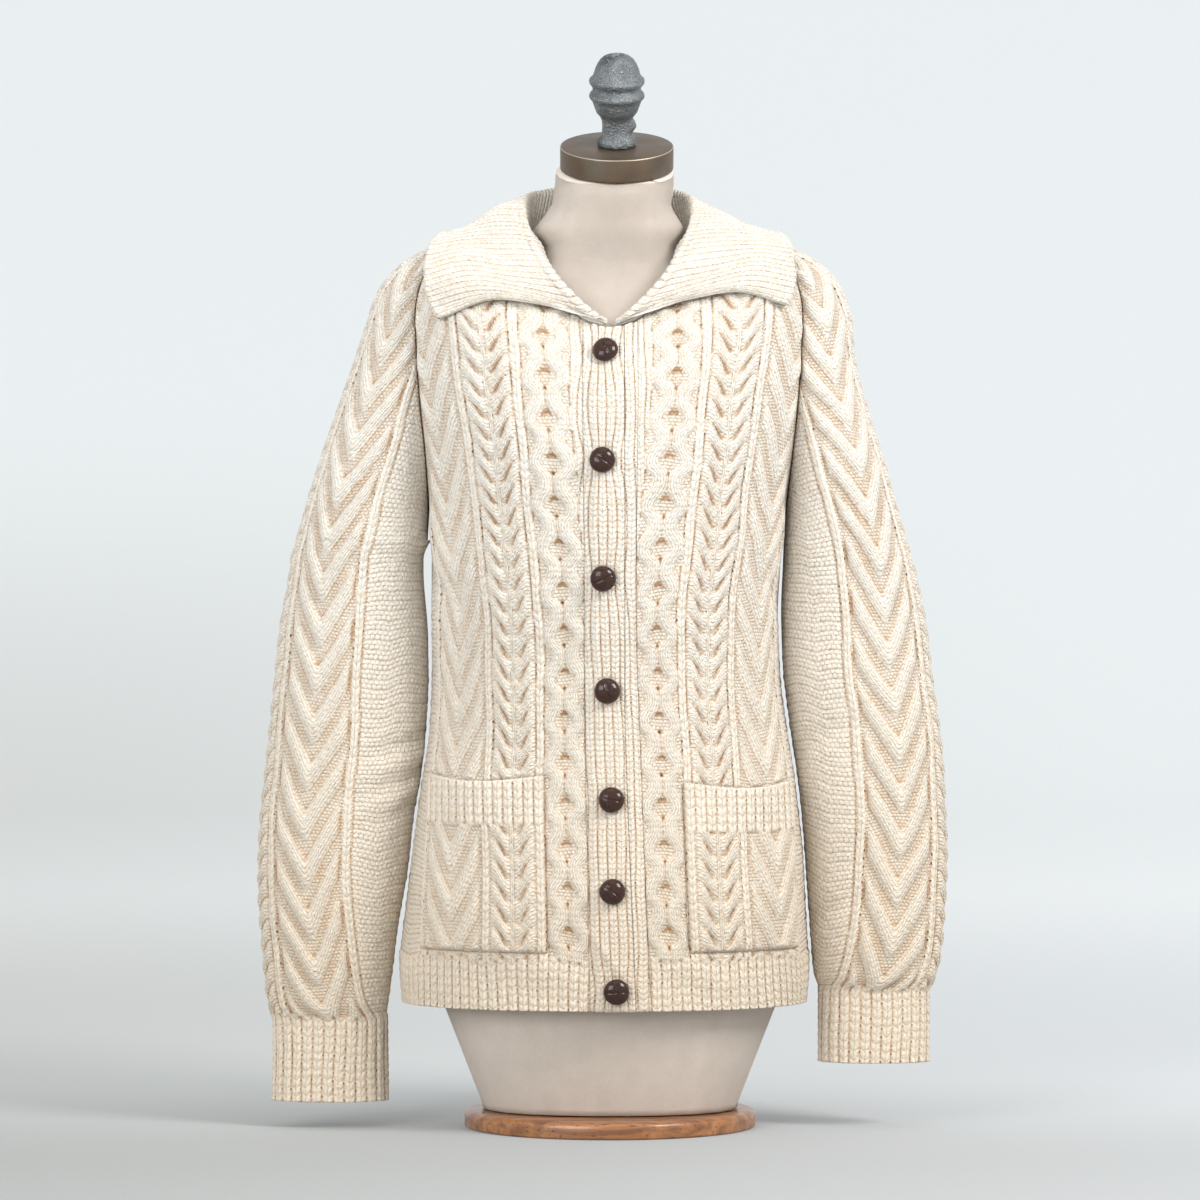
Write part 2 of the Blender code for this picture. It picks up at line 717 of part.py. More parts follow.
def build_sleeve(side):
    """A sleeve with its saddle: lines all round from the cuff to the armhole seam and the neck."""
    body = Body()
    cuff, cuff_top = CUFF[side]
    bottom = cuff_top + 4

    def loop(layout, start, high):
        """Lines from the underarm seam over the back, the top line and the front to the same seam."""
        if high:
            middle = [plain(0, 0.9)]
            spec = [(plain(300, 0.0, 45.0), 1)]
        else:
            middle = [plain(0, 0.0, 50.0)]
            spec = [(plain(300, 0.0, 50.0), 1)]
        behind = [(value, -1) for value in reversed(layout)]
        ahead = [(value, 1) for value in [*middle, *layout]]
        made = []
        for value, sign in [*spec, *behind, *ahead]:
            for line in lines_for(side, "arm", [value], start, sign=sign):
                made.append(line)
        return made

    outer = [put_line(body, side, "arm", line, nothing_on) for line in loop(SLEEVE_LAYOUT, bottom, True)]
    outer.append(outer[0])
    join_lines(body, outer)
    inner = []
    for line in loop(SLEEVE_INNER, cuff, False):
        inner.append(put_line(body, side, "arm", line, nothing_on, lambda s, level, at: -WALL))
    inner.append(inner[0])
    join_lines(body, inner)
    # the cuff's rib
    around = 2 * half_round(side, (cuff + cuff_top) / 2)
    count = 2 * int(round(around / RIB_PITCH))
    rows = []
    for level in (cuff, cuff_top):
        half = half_round(side, level)
        ids = rib_rim(body, side, "arm", level, -half, half, count, RIB_HIGH)
        rows.append([*ids[:-1], ids[0]])
    for k in range(count):
        body.face(rows[0][k], rows[0][k + 1], rows[1][k + 1], rows[1][k])
    body.zip_near(rows[1], [line["ids"][0] for line in outer])
    body.zip_near(rows[0], [line["ids"][0] for line in inner])
    # the armhole seam, up the back, across the neck's edge and down the front
    pairs = []
    first = ring_of(side, "arm", UNDERARM)[1][-1]
    p = place(side, "arm", UNDERARM, first)
    start = (body.add(p), body.add(p - WALL * outward(side, "arm", UNDERARM, first)))
    pairs.append(start)
    for level in SEAM_LEVELS[1:]:
        pairs.append(seam_station(body, side, "arm", level, True))
    ring = ring_of(side, "arm", NECK)[1]
    steps = NECK_STEPS["arm"]
    out, inn = neck_stations(body, side, "arm", np.linspace(ring[0] + GAP, ring[-1] - GAP, steps + 1)[1:-1])
    pairs += list(zip(out, inn))
    for level in reversed(SEAM_LEVELS[1:]):
        pairs.append(seam_station(body, side, "arm", level, False))
    pairs.append(start)
    n = len(SEAM_LEVELS)
    corners = [n - 1, n - 1 + steps]
    body.zip_parts([line["ids"][-1] for line in outer], [a for a, _ in pairs], corners)
    body.zip_parts([line["ids"][-1] for line in inner], [b for _, b in pairs], corners)
    for (a, b), (c, d) in zip(pairs, pairs[1:]):
        body.face(a, c, d, b)
    return body


POCKET_RIB = 41.0
POCKET_LIFT = 0.8
MOUTH = 2.2  # how far a pocket's mouth stands open in the middle


def pocket_base(side, level, at):
    """How far a pocket's back lies off its front: closed round its sewn edges, open at the mouth."""
    top = POCKET[side][0]
    first = column_distance(side, "front", level, POCKET_U[side][0])
    last = column_distance(side, "front", level, POCKET_U[side][1])
    across = min(max((at - first) / (last - first), 0.0), 1.0)
    up = min(max((level - top + 70) / 70, 0.0), 1.0)
    return POCKET_LIFT + MOUTH * math.sin(math.pi * across) * up * up * (3 - 2 * up)


def pocket_front(side, level, at):
    return pocket_base(side, level, at) + WALL


def build_pocket(side):
    """A patch pocket: the front's own points and columns, moved out, with a rib along its mouth."""
    body = Body()
    top, bottom = POCKET[side]
    first, last = POCKET_U[side]
    rib = top - POCKET_RIB
    layout = [value for value in LAYOUT if value[0] != "ring" and first + 2 < value[1] < last - 2]
    layout = [plain(first, 0.0), *layout, plain(last, 0.0)]
    outer = []
    for line in lines_for(side, "front", layout, bottom, rib - 3):
        outer.append(put_line(body, side, "front", line, nothing_on, pocket_front))
    join_lines(body, outer)
    wide = column_distance(side, "front", rib, last) - column_distance(side, "front", rib, first)
    count = 2 * int(round(wide / RIB_PITCH))
    rows = []
    for level in (top, rib):
        a = column_distance(side, "front", level, first)
        b = column_distance(side, "front", level, last)
        ids = []
        for k in range(count + 1):
            at = a + (b - a) * k / count
            high = pocket_front(side, level, at) + (RIB_HIGH if k % 2 else 0.0)
            ids.append(body.add(raised_point(side, "front", level, at, high)))
        rows.append(ids)
    for k in range(count):
        body.face(rows[0][k], rows[0][k + 1], rows[1][k + 1], rows[1][k])
    body.zip_near(rows[1], [line["ids"][-1] for line in outer])
    inner = []
    for line in lines_for(side, "front", [plain(value[1], 0.0, 28.0) for value in layout], bottom, top):
        inner.append(put_line(body, side, "front", line, nothing_on, pocket_base))
    join_lines(body, inner)
    body.zip_near(rows[0], [line["ids"][-1] for line in inner])
    body.zip_near([line["ids"][0] for line in outer], [line["ids"][0] for line in inner])
    body.zip_near([*outer[0]["ids"], rows[1][0], rows[0][0]], inner[0]["ids"])
    body.zip_near([*outer[-1]["ids"], rows[1][-1], rows[0][-1]], inner[-1]["ids"])
    return body


BAND_LIFT = 4.2  # the buttonhole band lies this far out, on the button band
BAND_ROWS = 13
BAND_RIBS = 4


def front_at(level, x, high):
    """A point off the plain front at a signed distance x from its middle."""
    side = "left" if x >= 0 else "right"
    p = place(side, "front", level, abs(x))
    if abs(x) < 4:
        near = outward(side, "front", level, 4.0)
        n = np.array([near[0] * abs(x) / 4, near[1], near[2]])
        return p + high * n / np.linalg.norm(n)
    return p + high * outward(side, "front", level, abs(x))


def over_base(level, x):
    """How far the buttonhole band's inner face is lifted at x."""
    edge = -front("edge_right", level)
    t = min(max((x - edge) / 11.5, 0.0), 1.0)
    return BAND_LIFT * t * t * (3 - 2 * t)


def build_band(side):
    """A rib band along a front's edge, from the hem to the neck."""
    body = Body()
    outer, inner = [], []
    for k in range(BAND_ROWS + 1):
        level = HEM + (NECK - 1 - HEM) * k / BAND_ROWS
        if side == "right":
            ends = (-front("edge_right", level) + 2 * GAP, front("over_free", level))
        else:
            ends = (front("under_free", level), front("edge_left", level) - 2 * GAP)
        row, under = [], []
        count = 2 * BAND_RIBS
        for j in range(count + 1):
            x = ends[0] + (ends[1] - ends[0]) * j / count
            high = 1.6 if j % 2 else 0.0
            lift = over_base(level, x) if side == "right" else 0.0
            if side == "left" and x < front("over_free", level) + 2:
                high = 0.0
            row.append(body.add(front_at(level, x, lift + high)))
            if j % 2 == 0:
                under.append(body.add(front_at(level, x, lift - WALL)))
        outer.append(row)
        inner.append(under)
    for low, up in zip(outer, outer[1:]):
        for j in range(2 * BAND_RIBS):
            body.face(low[j], low[j + 1], up[j + 1], up[j])
    for low, up in zip(inner, inner[1:]):
        for j in range(BAND_RIBS):
            body.face(low[j], low[j + 1], up[j + 1], up[j])
    for k in range(BAND_ROWS):
        for j in (0, -1):
            body.face(outer[k][j], outer[k + 1][j], inner[k + 1][j], inner[k][j])
    body.zip_near(outer[0], inner[0])
    body.zip_near(outer[-1], inner[-1])
    return body


BUTTON_NAMES = "x z turn".split()
BUTTONS = (
    (-7.7, 672.8, 12),
    (-6.8, 581.1, 0),
    (-6.0, 480.9, 0),
    (-2.6, 384.0, 0),
    (0.9, 290.6, 0),
    (1.7, 212.6, 0),
    (5.1, 127.8, 0),
)
BUTTON_PROFILE = ((7.5, 0.0), (11.0, 2.4), (9.9, 6.0), (5.8, 8.7))
BUTTON_HIGH = 9.6
BUTTON_SIDES = 10
SEAT = 0.42  # a button lies this far off the band


def lathe(body, profile, start, end, sides, frame):
    """A turned solid: rings of (radius, height) between two poles on the frame's axis."""
    centre, across, other, axis = frame
    low = body.add(centre + start * axis)
    rings = []
    for radius, high in profile:
        ring = []
        for k in range(sides):
            turn = 2 * math.pi * k / sides
            p = centre + high * axis + radius * (math.cos(turn) * across + math.sin(turn) * other)
            ring.append(body.add(p))
        rings.append(ring)
    top = body.add(centre + end * axis)
    for k in range(sides):
        m = (k + 1) % sides
        body.face(low, rings[0][k], rings[0][m])
        body.face(top, rings[-1][k], rings[-1][m])
        for a, b in zip(rings, rings[1:]):
            body.face(a[k], a[m], b[m], b[k])
    return body


def frame_along(centre, axis):
    axis = axis / np.linalg.norm(axis)
    across = np.cross(axis, [0, 0, 1.0])
    if np.linalg.norm(across) < 0.1:
        across = np.array([1.0, 0, 0])
    across = across / np.linalg.norm(across)
    return centre, across, np.cross(axis, across), axis


def build_button(x, z, turn, band):
    """A leather dome button, moved in along its axis until it lies SEAT off the buttonhole band."""
    n = front_at(z, x, 1.0) - front_at(z, x, 0.0)
    lean = math.radians(turn)
    axis = np.array([n[0] * math.cos(lean) + n[1] * math.sin(lean), n[1] * math.cos(lean), n[2]])
    centre, across, other, axis = frame_along(front_at(z, x, BAND_LIFT + 20), axis)
    drops = []
    for radius, high in ((0.0, 0.0), (4.0, 0.0), *BUTTON_PROFILE[:2]):
        for k in range(2 * BUTTON_SIDES):
            around = math.pi * k / BUTTON_SIDES
            p = centre + high * axis + radius * (math.cos(around) * across + math.sin(around) * other)
            hit = band.ray_cast(Vector(p), Vector(-axis))
            if hit[0] is not None:
                drops.append(hit[3])
    centre = centre - (min(drops) - SEAT) * axis
    return lathe(Body(), BUTTON_PROFILE, 0.0, BUTTON_HIGH, BUTTON_SIDES, (centre, across, other, axis))


COLLAR_NAMES = "share roll_x roll_y roll_z edge_x edge_y edge_z arch".split()
COLLAR_RIGHT = (
    (0.00, 3, -104, 701, 146, -92, 704, 26),
    (0.10, 14, -102, 707, 155, -85, 716, 15),
    (0.20, 37, -97, 728, 158, -76, 729, 9),
    (0.30, 53, -85, 748, 158, -64, 744, 6),
    (0.40, 64, -62, 767, 156, -47, 758, 13),
    (0.48, 71, -36, 784, 151, -24, 771, 13),
    (0.56, 74, -6, 802, 143, 12, 778, 13),
    (0.63, 71, 20, 815, 134, 45, 768, 14),
    (0.71, 60, 42, 822, 115, 72, 752, 14),
    (0.80, 42, 57, 826, 82, 96, 738, 6),
    (0.90, 20, 63, 828, 40, 108, 731, 6),
    (1.00, 0, 65, 828, 0, 112, 729, 6),
)
COLLAR_LEFT = (
    (0.00, 6, -104, 701, 154, -88, 717, 24),
    (0.10, 15, -102, 707, 161, -80, 729, 12),
    (0.20, 32, -97, 723, 162, -71, 742, 7),
    (0.30, 50, -86, 744, 160, -60, 754, 6),
    (0.40, 62, -63, 766, 157, -44, 764, 13),
    (0.48, 70, -36, 784, 152, -22, 773, 13),
    (0.56, 74, -6, 802, 144, 12, 778, 13),
    (0.63, 71, 20, 815, 134, 45, 768, 14),
    (0.71, 60, 42, 822, 115, 72, 752, 14),
    (0.80, 42, 57, 826, 82, 96, 738, 6),
    (0.90, 20, 63, 828, 40, 108, 731, 6),
    (1.00, 0, 65, 828, 0, 112, 729, 6),
)
COLLAR_FALL = (0.06, 0.16, 0.4, 0.7, 1.0)
COLLAR_OFF = 9.0  # its middle lies this far off the plain yoke, over the cables


def neck_places(side):
    """Points on the neck's edge from the closing to the back's middle: place, normal and rise."""
    places = [("front", 5.0)]
    total = ring_of(side, "front", NECK)[1][-1]
    for at in np.linspace(edge_distance(side, "front", NECK), total - GAP, NECK_STEPS["front"] + 1):
        places.append(("front", at))
    ring = ring_of(side, "arm", NECK)[1]
    for at in np.linspace(ring[-1] - GAP, ring[0] + GAP, NECK_STEPS["arm"] + 1)[1:]:
        places.append(("arm", at))
    total = ring_of(side, "back", NECK)[1][-1]
    for at in np.linspace(total - GAP, 0, NECK_STEPS["back"] + 1)[1:]:
        places.append(("back", at))
    points = [place(side, face, NECK, at) for face, at in places]
    found = []
    for k, (face, at) in enumerate(places):
        n = outward(side, face, NECK, at)
        edge = points[min(k + 1, len(points) - 1)] - points[max(k - 1, 0)]
        up = np.cross(n, edge)
        up = up / np.linalg.norm(up) * (1 if up[2] > 0 else -1)
        found.append((points[k], n, up))
    return found


def yoke_tree():
    """The plain outer face of the yoke, for laying the collar on it."""
    points, faces = [], []
    levels = np.linspace(540, NECK, 40)
    for side in ("left", "right"):
        for face in ("front", "arm", "back"):
            rows = []
            for level in levels:
                along = ring_of(side, face, level)[1]
                row = []
                for at in np.linspace(along[0], along[-1], 30):
                    points.append(Vector(place(side, face, level, at)))
                    row.append(len(points) - 1)
                rows.append(row)
            for a, b in zip(rows, rows[1:]):
                for k in range(29):
                    faces.append((a[k], a[k + 1], b[k + 1], b[k]))
    return BVHTree.FromPolygons(points, faces)


def laid_on(tree, p, off, exactly):
    """p moved out of the yoke until it is off it; with exactly, also moved back onto it."""
    q, n, _, _ = tree.find_nearest(Vector(p))
    middle = Vector((0, 0, 640))
    if (q - middle).dot(n) < 0:
        n = -n
    away = (Vector(p) - q).dot(n)
    if away < off or exactly:
        return np.array(q + n * off)
    return np.array(p)


def build_collar():
    """A strip sewn round the neck, up to its roll, over it and down on the yoke."""
    tree = yoke_tree()
    middle = []  # the wall's middle surface, columns from the right front to the left front
    for side, rows in (("right", COLLAR_RIGHT), ("left", COLLAR_LEFT)):
        columns = []
        places = neck_places(side)
        for k, (p, n, up) in enumerate(places):
            share = k / (len(places) - 1)
            value = {name: smooth_table(COLLAR_NAMES, rows, name, share) for name in COLLAR_NAMES[1:]}
            sign = SIGN[side]
            roll = np.array([sign * value["roll_x"], value["roll_y"], value["roll_z"]])
            edge = np.array([sign * value["edge_x"], value["edge_y"], value["edge_z"]])
            start = p - n * WALL / 2 + up * 0.6
            near = max(1 - k / 3, 0.0)  # at the closing it also clears the lifted band
            start = start + near * np.array([0, -2.2, 2.6])
            rise = min(0.35 * np.linalg.norm(roll - start), 7.0)
            column = [start, start + up * rise, roll]
            bend = (roll + edge) / 2 + np.array([0, 0, value["arch"]])
            for t in COLLAR_FALL:
                q = (1 - t) ** 2 * roll + 2 * t * (1 - t) * bend + t * t * edge
                off = COLLAR_OFF + 4.4 * max(1 - max(abs(q[0]) - 14, 0) / 14, 0.0)
                column.append(laid_on(tree, q, off * min(0.4 + 3 * t, 1.0), t > 0.5))
            columns.append(column)
        middle += columns if side == "right" else columns[-2::-1]
    grid = np.array(middle)
    along = np.gradient(grid, axis=0)
    down = np.gradient(grid, axis=1)
    normal = np.cross(along, down)
    normal /= np.linalg.norm(normal, axis=2)[..., None]
    body = Body()
    faces = []
    for sign in (1, -1):
        faces.append([[body.add(grid[i, j] + sign * normal[i, j] * WALL / 2) for j in range(grid.shape[1])]
                      for i in range(grid.shape[0])])
    rows, count = grid.shape[1], grid.shape[0]
    for sheet in faces:
        for i in range(count - 1):
            for j in range(rows - 1):
                body.face(sheet[i][j], sheet[i + 1][j], sheet[i + 1][j + 1], sheet[i][j + 1])
    a, b = faces
    for i in range(count - 1):
        for j in (0, rows - 1):
            body.face(a[i][j], a[i + 1][j], b[i + 1][j], b[i][j])
    for j in range(rows - 1):
        for i in (0, count - 1):
            body.face(a[i][j], a[i][j + 1], b[i][j + 1], b[i][j])
    return body


FORM_NAMES = "z wide front back".split()
FORM = (
    (15.6, 112, 86, 82),
    (110, 150, 108, 97),
    (200, 156, 118, 106),
    (300, 150, 112, 95),
    (400, 138, 106, 84),
    (500, 143, 116, 90),
    (560, 151, 120, 94),
    (620, 158, 119, 95),
    (660, 162, 112, 92),
    (682, 164, 103, 89),
    (698, 165, 88, 86),
    (716, 165, 74, 82),
    (734, 164, 62, 77),
    (748, 161, 55, 71),
    (758, 157, 51, 67),
    (772, 142, 48, 60),
    (777, 130, 47, 57),
    (781, 117, 47, 55),
    (785, 102, 47, 52),
    (790, 78, 46, 49),
    (797, 63, 45, 46),
    (808, 54, 44, 45),
    (838.7, 52, 43, 43),
)
FORM_SIDES = 24
FORM_X = 5.7  # the neck's top lies this far to the left
NECK_FOOT = 790.0
NECK_LEAN = math.radians(20)
CAP = (6.0, 2.0, 862.0)  # the middle of the cap's top
CAP_PROFILE = ((48.4, -21.0), (50.0, -19.4), (50.0, -1.2), (48.8, 0.0))
FINIAL_PROFILE = (
    (17.0, 0.4),
    (16.0, 7.0),
    (13.0, 12.5),
    (13.0, 23.5),
    (20.0, 36.0),
    (24.2, 45.0),
    (21.2, 51.8),
    (24.3, 58.4),
    (20.4, 64.5),
    (17.2, 74.0),
    (10.5, 80.5),
)
BASE_PROFILE = ((128.0, 0.0), (128.0, 11.0), (124.0, 15.0))


def build_torso(walls):
    """The form's body: rings of its own size, clear of the cloth and just under it at the shoulders."""
    body = Body()
    rings = []
    for z, wide, ahead, behind in FORM:
        share = max((z - NECK_FOOT) / (FORM[-1][0] - NECK_FOOT), 0.0)
        centre = np.array([FORM_X * share * share, 0, z])
        clear = 6.0 - 3.2 * min(max((z - 700) / 35, 0.0), 1.0)
        ring = []
        for k in range(FORM_SIDES):
            turn = 2 * math.pi * k / FORM_SIDES
            c, s = math.cos(turn), math.sin(turn)
            deep = ahead if s < 0 else behind
            radius = (abs(c / wide) ** 2.3 + abs(s / deep) ** 2.3) ** (-1 / 2.3)
            for near_z in (-1.5, 0.0, 1.5):
                for near_turn in (-0.13, 0.0, 0.13):
                    ray = Vector((math.cos(turn + near_turn), math.sin(turn + near_turn), 0))
                    hit = walls.ray_cast(Vector((0, 0, z + near_z)), ray)
                    if hit[0] is not None:
                        radius = min(radius, hit[3] - clear)
            p = centre + radius * np.array([c, s, 0])
            p[2] += math.tan(NECK_LEAN) * p[1] if z == FORM[-1][0] else 0.0
            ring.append(body.add(p))
        rings.append(ring)
    low = body.add((0, 0, FORM[0][0]))
    top = body.add(np.mean([body.points[i] for i in rings[-1]], axis=0))
    for k in range(FORM_SIDES):
        m = (k + 1) % FORM_SIDES
        body.face(low, rings[0][k], rings[0][m])
        body.face(top, rings[-1][k], rings[-1][m])
        for a, b in zip(rings, rings[1:]):
            body.face(a[k], a[m], b[m], b[k])
    return body


def wall_tree(bodies):
    points, faces = [], []
    for body in bodies:
        start = len(points)
        points += [Vector(p) for p in body.points]
        faces += [tuple(i + start for i in f) for f in body.faces]
    return BVHTree.FromPolygons(points, faces)


def material(name, colour, rough):
    m = bpy.data.materials.new(name)
    m.use_nodes = True
    shader = m.node_tree.nodes["Principled BSDF"]
    shader.inputs["Base Color"].default_value = (*colour, 1)
    shader.inputs["Roughness"].default_value = rough
    return m


WOOL = (0.86, 0.78, 0.64)
LEATHER = (0.05, 0.02, 0.01)
LINEN = (0.72, 0.66, 0.58)
BRONZE = (0.12, 0.08, 0.06)
CAST = (0.35, 0.35, 0.35)
WOOD = (0.45, 0.3, 0.18)


def main():
    for o in list(bpy.data.objects):
        bpy.data.objects.remove(o, do_unlink=True)
    made = {}
    for side in ("left", "right"):
        made["front_" + side] = build_front(side)
        made["sleeve_" + side] = build_sleeve(side)
        made["band_" + side] = build_band(side)
        made["pocket_" + side] = build_pocket(side)
    made["back"] = build_back()
    made["collar"] = build_collar()
    walls = wall_tree(made.values())
    for name, body in made.items():
        body.make(name, material("wool_" + name, WOOL, 0.9))
    band = wall_tree([made["band_right"]])
    for k, (x, z, turn) in enumerate(BUTTONS):
        build_button(x, z, turn, band).make(f"button_{k + 1}", material(f"leather_{k + 1}", LEATHER, 0.35))
    build_torso(walls).make("form_torso", material("linen", LINEN, 0.9))
    tilt = np.array([0, -math.sin(NECK_LEAN), math.cos(NECK_LEAN)])
    cap = frame_along(np.array(CAP), tilt)
    lathe(Body(), CAP_PROFILE, -21.0, 0.0, 22, cap).make("form_cap", material("bronze", BRONZE, 0.4))
    finial = lathe(Body(), FINIAL_PROFILE, 0.4, 81.6, 14, cap)
    finial.make("form_finial", material("cast", CAST, 0.6))
    floor = frame_along(np.array([0.0, 0, 0]), np.array([0, 0, 1.0]))
    lathe(Body(), BASE_PROFILE, 0.0, 15.0, 28, floor).make("form_base", material("wood", WOOD, 0.6))


main()
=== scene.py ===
"""Looks of the cable knit cardigan on its dress form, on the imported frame. Lengths are mm until a mesh is made.

A level names a ring of the body, as it does for the solids: below the underarm it is the height, above it the
height of the ring's front centre. u is a knit column's place across the flat piece, up is the way up a column.
"""

import math

import bmesh
import bpy
import numpy as np
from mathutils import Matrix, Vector
from mathutils.bvhtree import BVHTree


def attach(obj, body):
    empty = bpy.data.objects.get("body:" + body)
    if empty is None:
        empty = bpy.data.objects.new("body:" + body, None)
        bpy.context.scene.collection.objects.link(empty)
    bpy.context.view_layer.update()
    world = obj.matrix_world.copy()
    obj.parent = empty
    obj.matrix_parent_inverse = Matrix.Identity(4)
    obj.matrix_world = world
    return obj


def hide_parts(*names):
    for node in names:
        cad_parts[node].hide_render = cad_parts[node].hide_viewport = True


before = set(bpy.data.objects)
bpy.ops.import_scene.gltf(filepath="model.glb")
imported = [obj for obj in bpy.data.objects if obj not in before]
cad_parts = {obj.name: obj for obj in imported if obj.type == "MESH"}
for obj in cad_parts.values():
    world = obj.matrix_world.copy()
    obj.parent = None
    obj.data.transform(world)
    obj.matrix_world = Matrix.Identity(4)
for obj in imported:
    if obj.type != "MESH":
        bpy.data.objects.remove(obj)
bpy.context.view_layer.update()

MM = 0.001
WALL = 3.0
GAP = 0.2
HEM, HEM_TOP, UNDERARM, NECK = 110.0, 152.0, 515.0, 695.0
EXPONENT = 2.2
RIB_PITCH = 9.2

TORSO_NAMES = "level front_y back_y seam_left seam_right front_seam_z back_seam_z back_z power".split()
TORSO = (
    (100, -126, 112, 170, 180, 100, 100, 100, 1.5),
    (150, -129, 115, 173, 183, 150, 150, 150, 1.5),
    (200, -132, 118, 171, 178, 200, 200, 200, 1.5),
    (245, -129, 116, 168, 172, 245, 245, 245, 1.5),
    (300, -125, 108, 162, 165, 300, 300, 300, 1.5),
    (345, -121, 100, 155, 158, 345, 345, 345, 1.5),
    (400, -120, 96, 149, 156, 400, 400, 400, 1.5),
    (443, -125, 96, 147.5, 156.5, 443, 443, 443, 1.5),
    (497, -130, 101, 150, 157, 497, 497, 497, 1.5),
    (515, -131, 104, 152.5, 158, 515, 515, 515, 1.5),
    (533, -132, 105, 155, 159, 552, 552, 552, 1.5),
    (553, -133, 106, 159, 161, 590, 590, 590, 1.5),
    (578, -133, 106, 163, 165, 632, 632, 628, 1.5),
    (602, -131, 107, 166, 168, 675, 675, 664, 1.5),
    (625, -128, 105, 167, 169, 712, 712, 697, 1.5),
    (645, -124, 101, 162, 164, 738, 740, 724, 1.4),
    (661, -119, 95, 149, 151, 756, 758, 748, 1.2),
    (676, -112, 86, 126, 126, 765, 769, 771, 1.0),
    (686, -105, 75, 97, 97, 770, 779, 787, 0.85),
    (695, -99, 62, 70, 70, 772, 786, 800, 0.75),
)
YOKE_NAMES = "level phi depth side_x_left side_z_left side_x_right side_z_right".split()
YOKE = (
    (515, 180, 59, 259, 515, 274, 515),
    (533, 160, 60, 248, 553, 263, 553),
    (553, 138, 61, 237, 590, 251, 590),
    (578, 120, 61, 224, 632, 238, 628),
    (602, 108, 60, 213, 675, 223, 670),
    (625, 100, 58, 210, 709, 213, 700),
    (645, 95, 54, 200, 737, 203, 730),
    (661, 92, 48, 178, 759, 178, 758),
    (676, 90, 42, 143, 774, 143, 774),
    (686, 90, 36, 108, 783, 108, 783),
    (695, 90, 30, 84, 789, 84, 789),
)
ARM_NAMES = "level centre half depth y".split()
ARM_LEFT = (
    (50, 231.7, 47.5, 26, -6),
    (118, 231.7, 47.5, 27, -6),
    (134, 232.7, 53, 33, -6),
    (163, 234, 57, 37, -6),
    (242, 232.8, 61.2, 42, -5),
    (300, 229.5, 63, 45, -4),
    (361, 222.5, 64.5, 47, -3),
    (400, 217, 64, 49, -2),
    (443, 213, 62, 52, -1),
    (495, 208.6, 56.4, 57, 0),
    (515, 205.95, 53.05, 59, 0),
)
ARM_RIGHT = (
    (15, 245.5, 50, 26, -6),
    (93, 245.5, 49, 27, -6),
    (110, 247.2, 52, 32, -6),
    (163, 246.8, 58.3, 37, -6),
    (229, 242.6, 64.4, 42, -5),
    (268, 240, 66, 44, -4),
    (321, 233, 67.5, 46, -3),
    (374, 228.4, 67, 48, -2),
    (427, 224.8, 64.3, 52, -1),
    (497, 221.4, 57.7, 57, 0),
    (515, 214.7, 59.3, 59, 0),
)
ARM = {"left": ARM_LEFT, "right": ARM_RIGHT}
CUFF = {"left": (57.0, 121.0), "right": (23.0, 96.0)}
FRONT_NAMES = "level edge_left edge_right strip fan over_free under_free".split()
FRONT = (
    (100, 36, 17, 0, 1.02, 22, -2),
    (200, 31, 19, 0, 1.0, 18, -4),
    (300, 27, 21, 0, 1.0, 14, -7),
    (380, 24, 22, 0, 0.98, 12, -8),
    (450, 22, 22, 1, 1.0, 12, -8),
    (560, 23, 23, 6, 1.13, 12, -8),
    (645, 24, 24, 12, 1.24, 12, -8),
    (695, 24, 24, 14, 1.27, 12, -8),
)
SIGN = {"left": 1, "right": -1}
POCKET = {"left": (305.0, 160.0), "right": (311.0, 160.0)}
POCKET_U = {"left": (57.5, 179.0), "right": (57.5, 183.0)}
POCKET_RIB = 41.0
BAND_LIFT = 4.2


def smooth(names, rows, name, level):
    """The column called name, as a monotone cubic through the rows, at an array of levels."""
    xs = np.array([row[0] for row in rows], float)
    ys = np.array([row[names.index(name)] for row in rows], float)
    rise = np.diff(ys) / np.diff(xs)
    a, b = rise[:-1], rise[1:]
    same = a * b > 0
    slope = np.concatenate([[rise[0]], np.where(same, 2 * a * b / np.where(same, a + b, 1), 0), [rise[-1]]])
    level = np.clip(level, xs[0], xs[-1])
    k = np.clip(np.searchsorted(xs, level, side="right") - 1, 0, len(xs) - 2)
    h = xs[k + 1] - xs[k]
    t = (level - xs[k]) / h
    return (
        ys[k] * (1 + 2 * t) * (1 - t) ** 2
        + slope[k] * h * t * (1 - t) ** 2
        + ys[k + 1] * t * t * (3 - 2 * t)
        - slope[k + 1] * h * t * t * (1 - t)
    )


def torso(name, level):
    return smooth(TORSO_NAMES, TORSO, name, level)[:, None]


def yoke(name, level):
    return smooth(YOKE_NAMES, YOKE, name, level)[:, None]


def front(name, level):
    return smooth(FRONT_NAMES, FRONT, name, level)[:, None]


def ease(x, low, high):
    t = np.clip((x - low) / (high - low), 0, 1)
    return t * t * (3 - 2 * t)


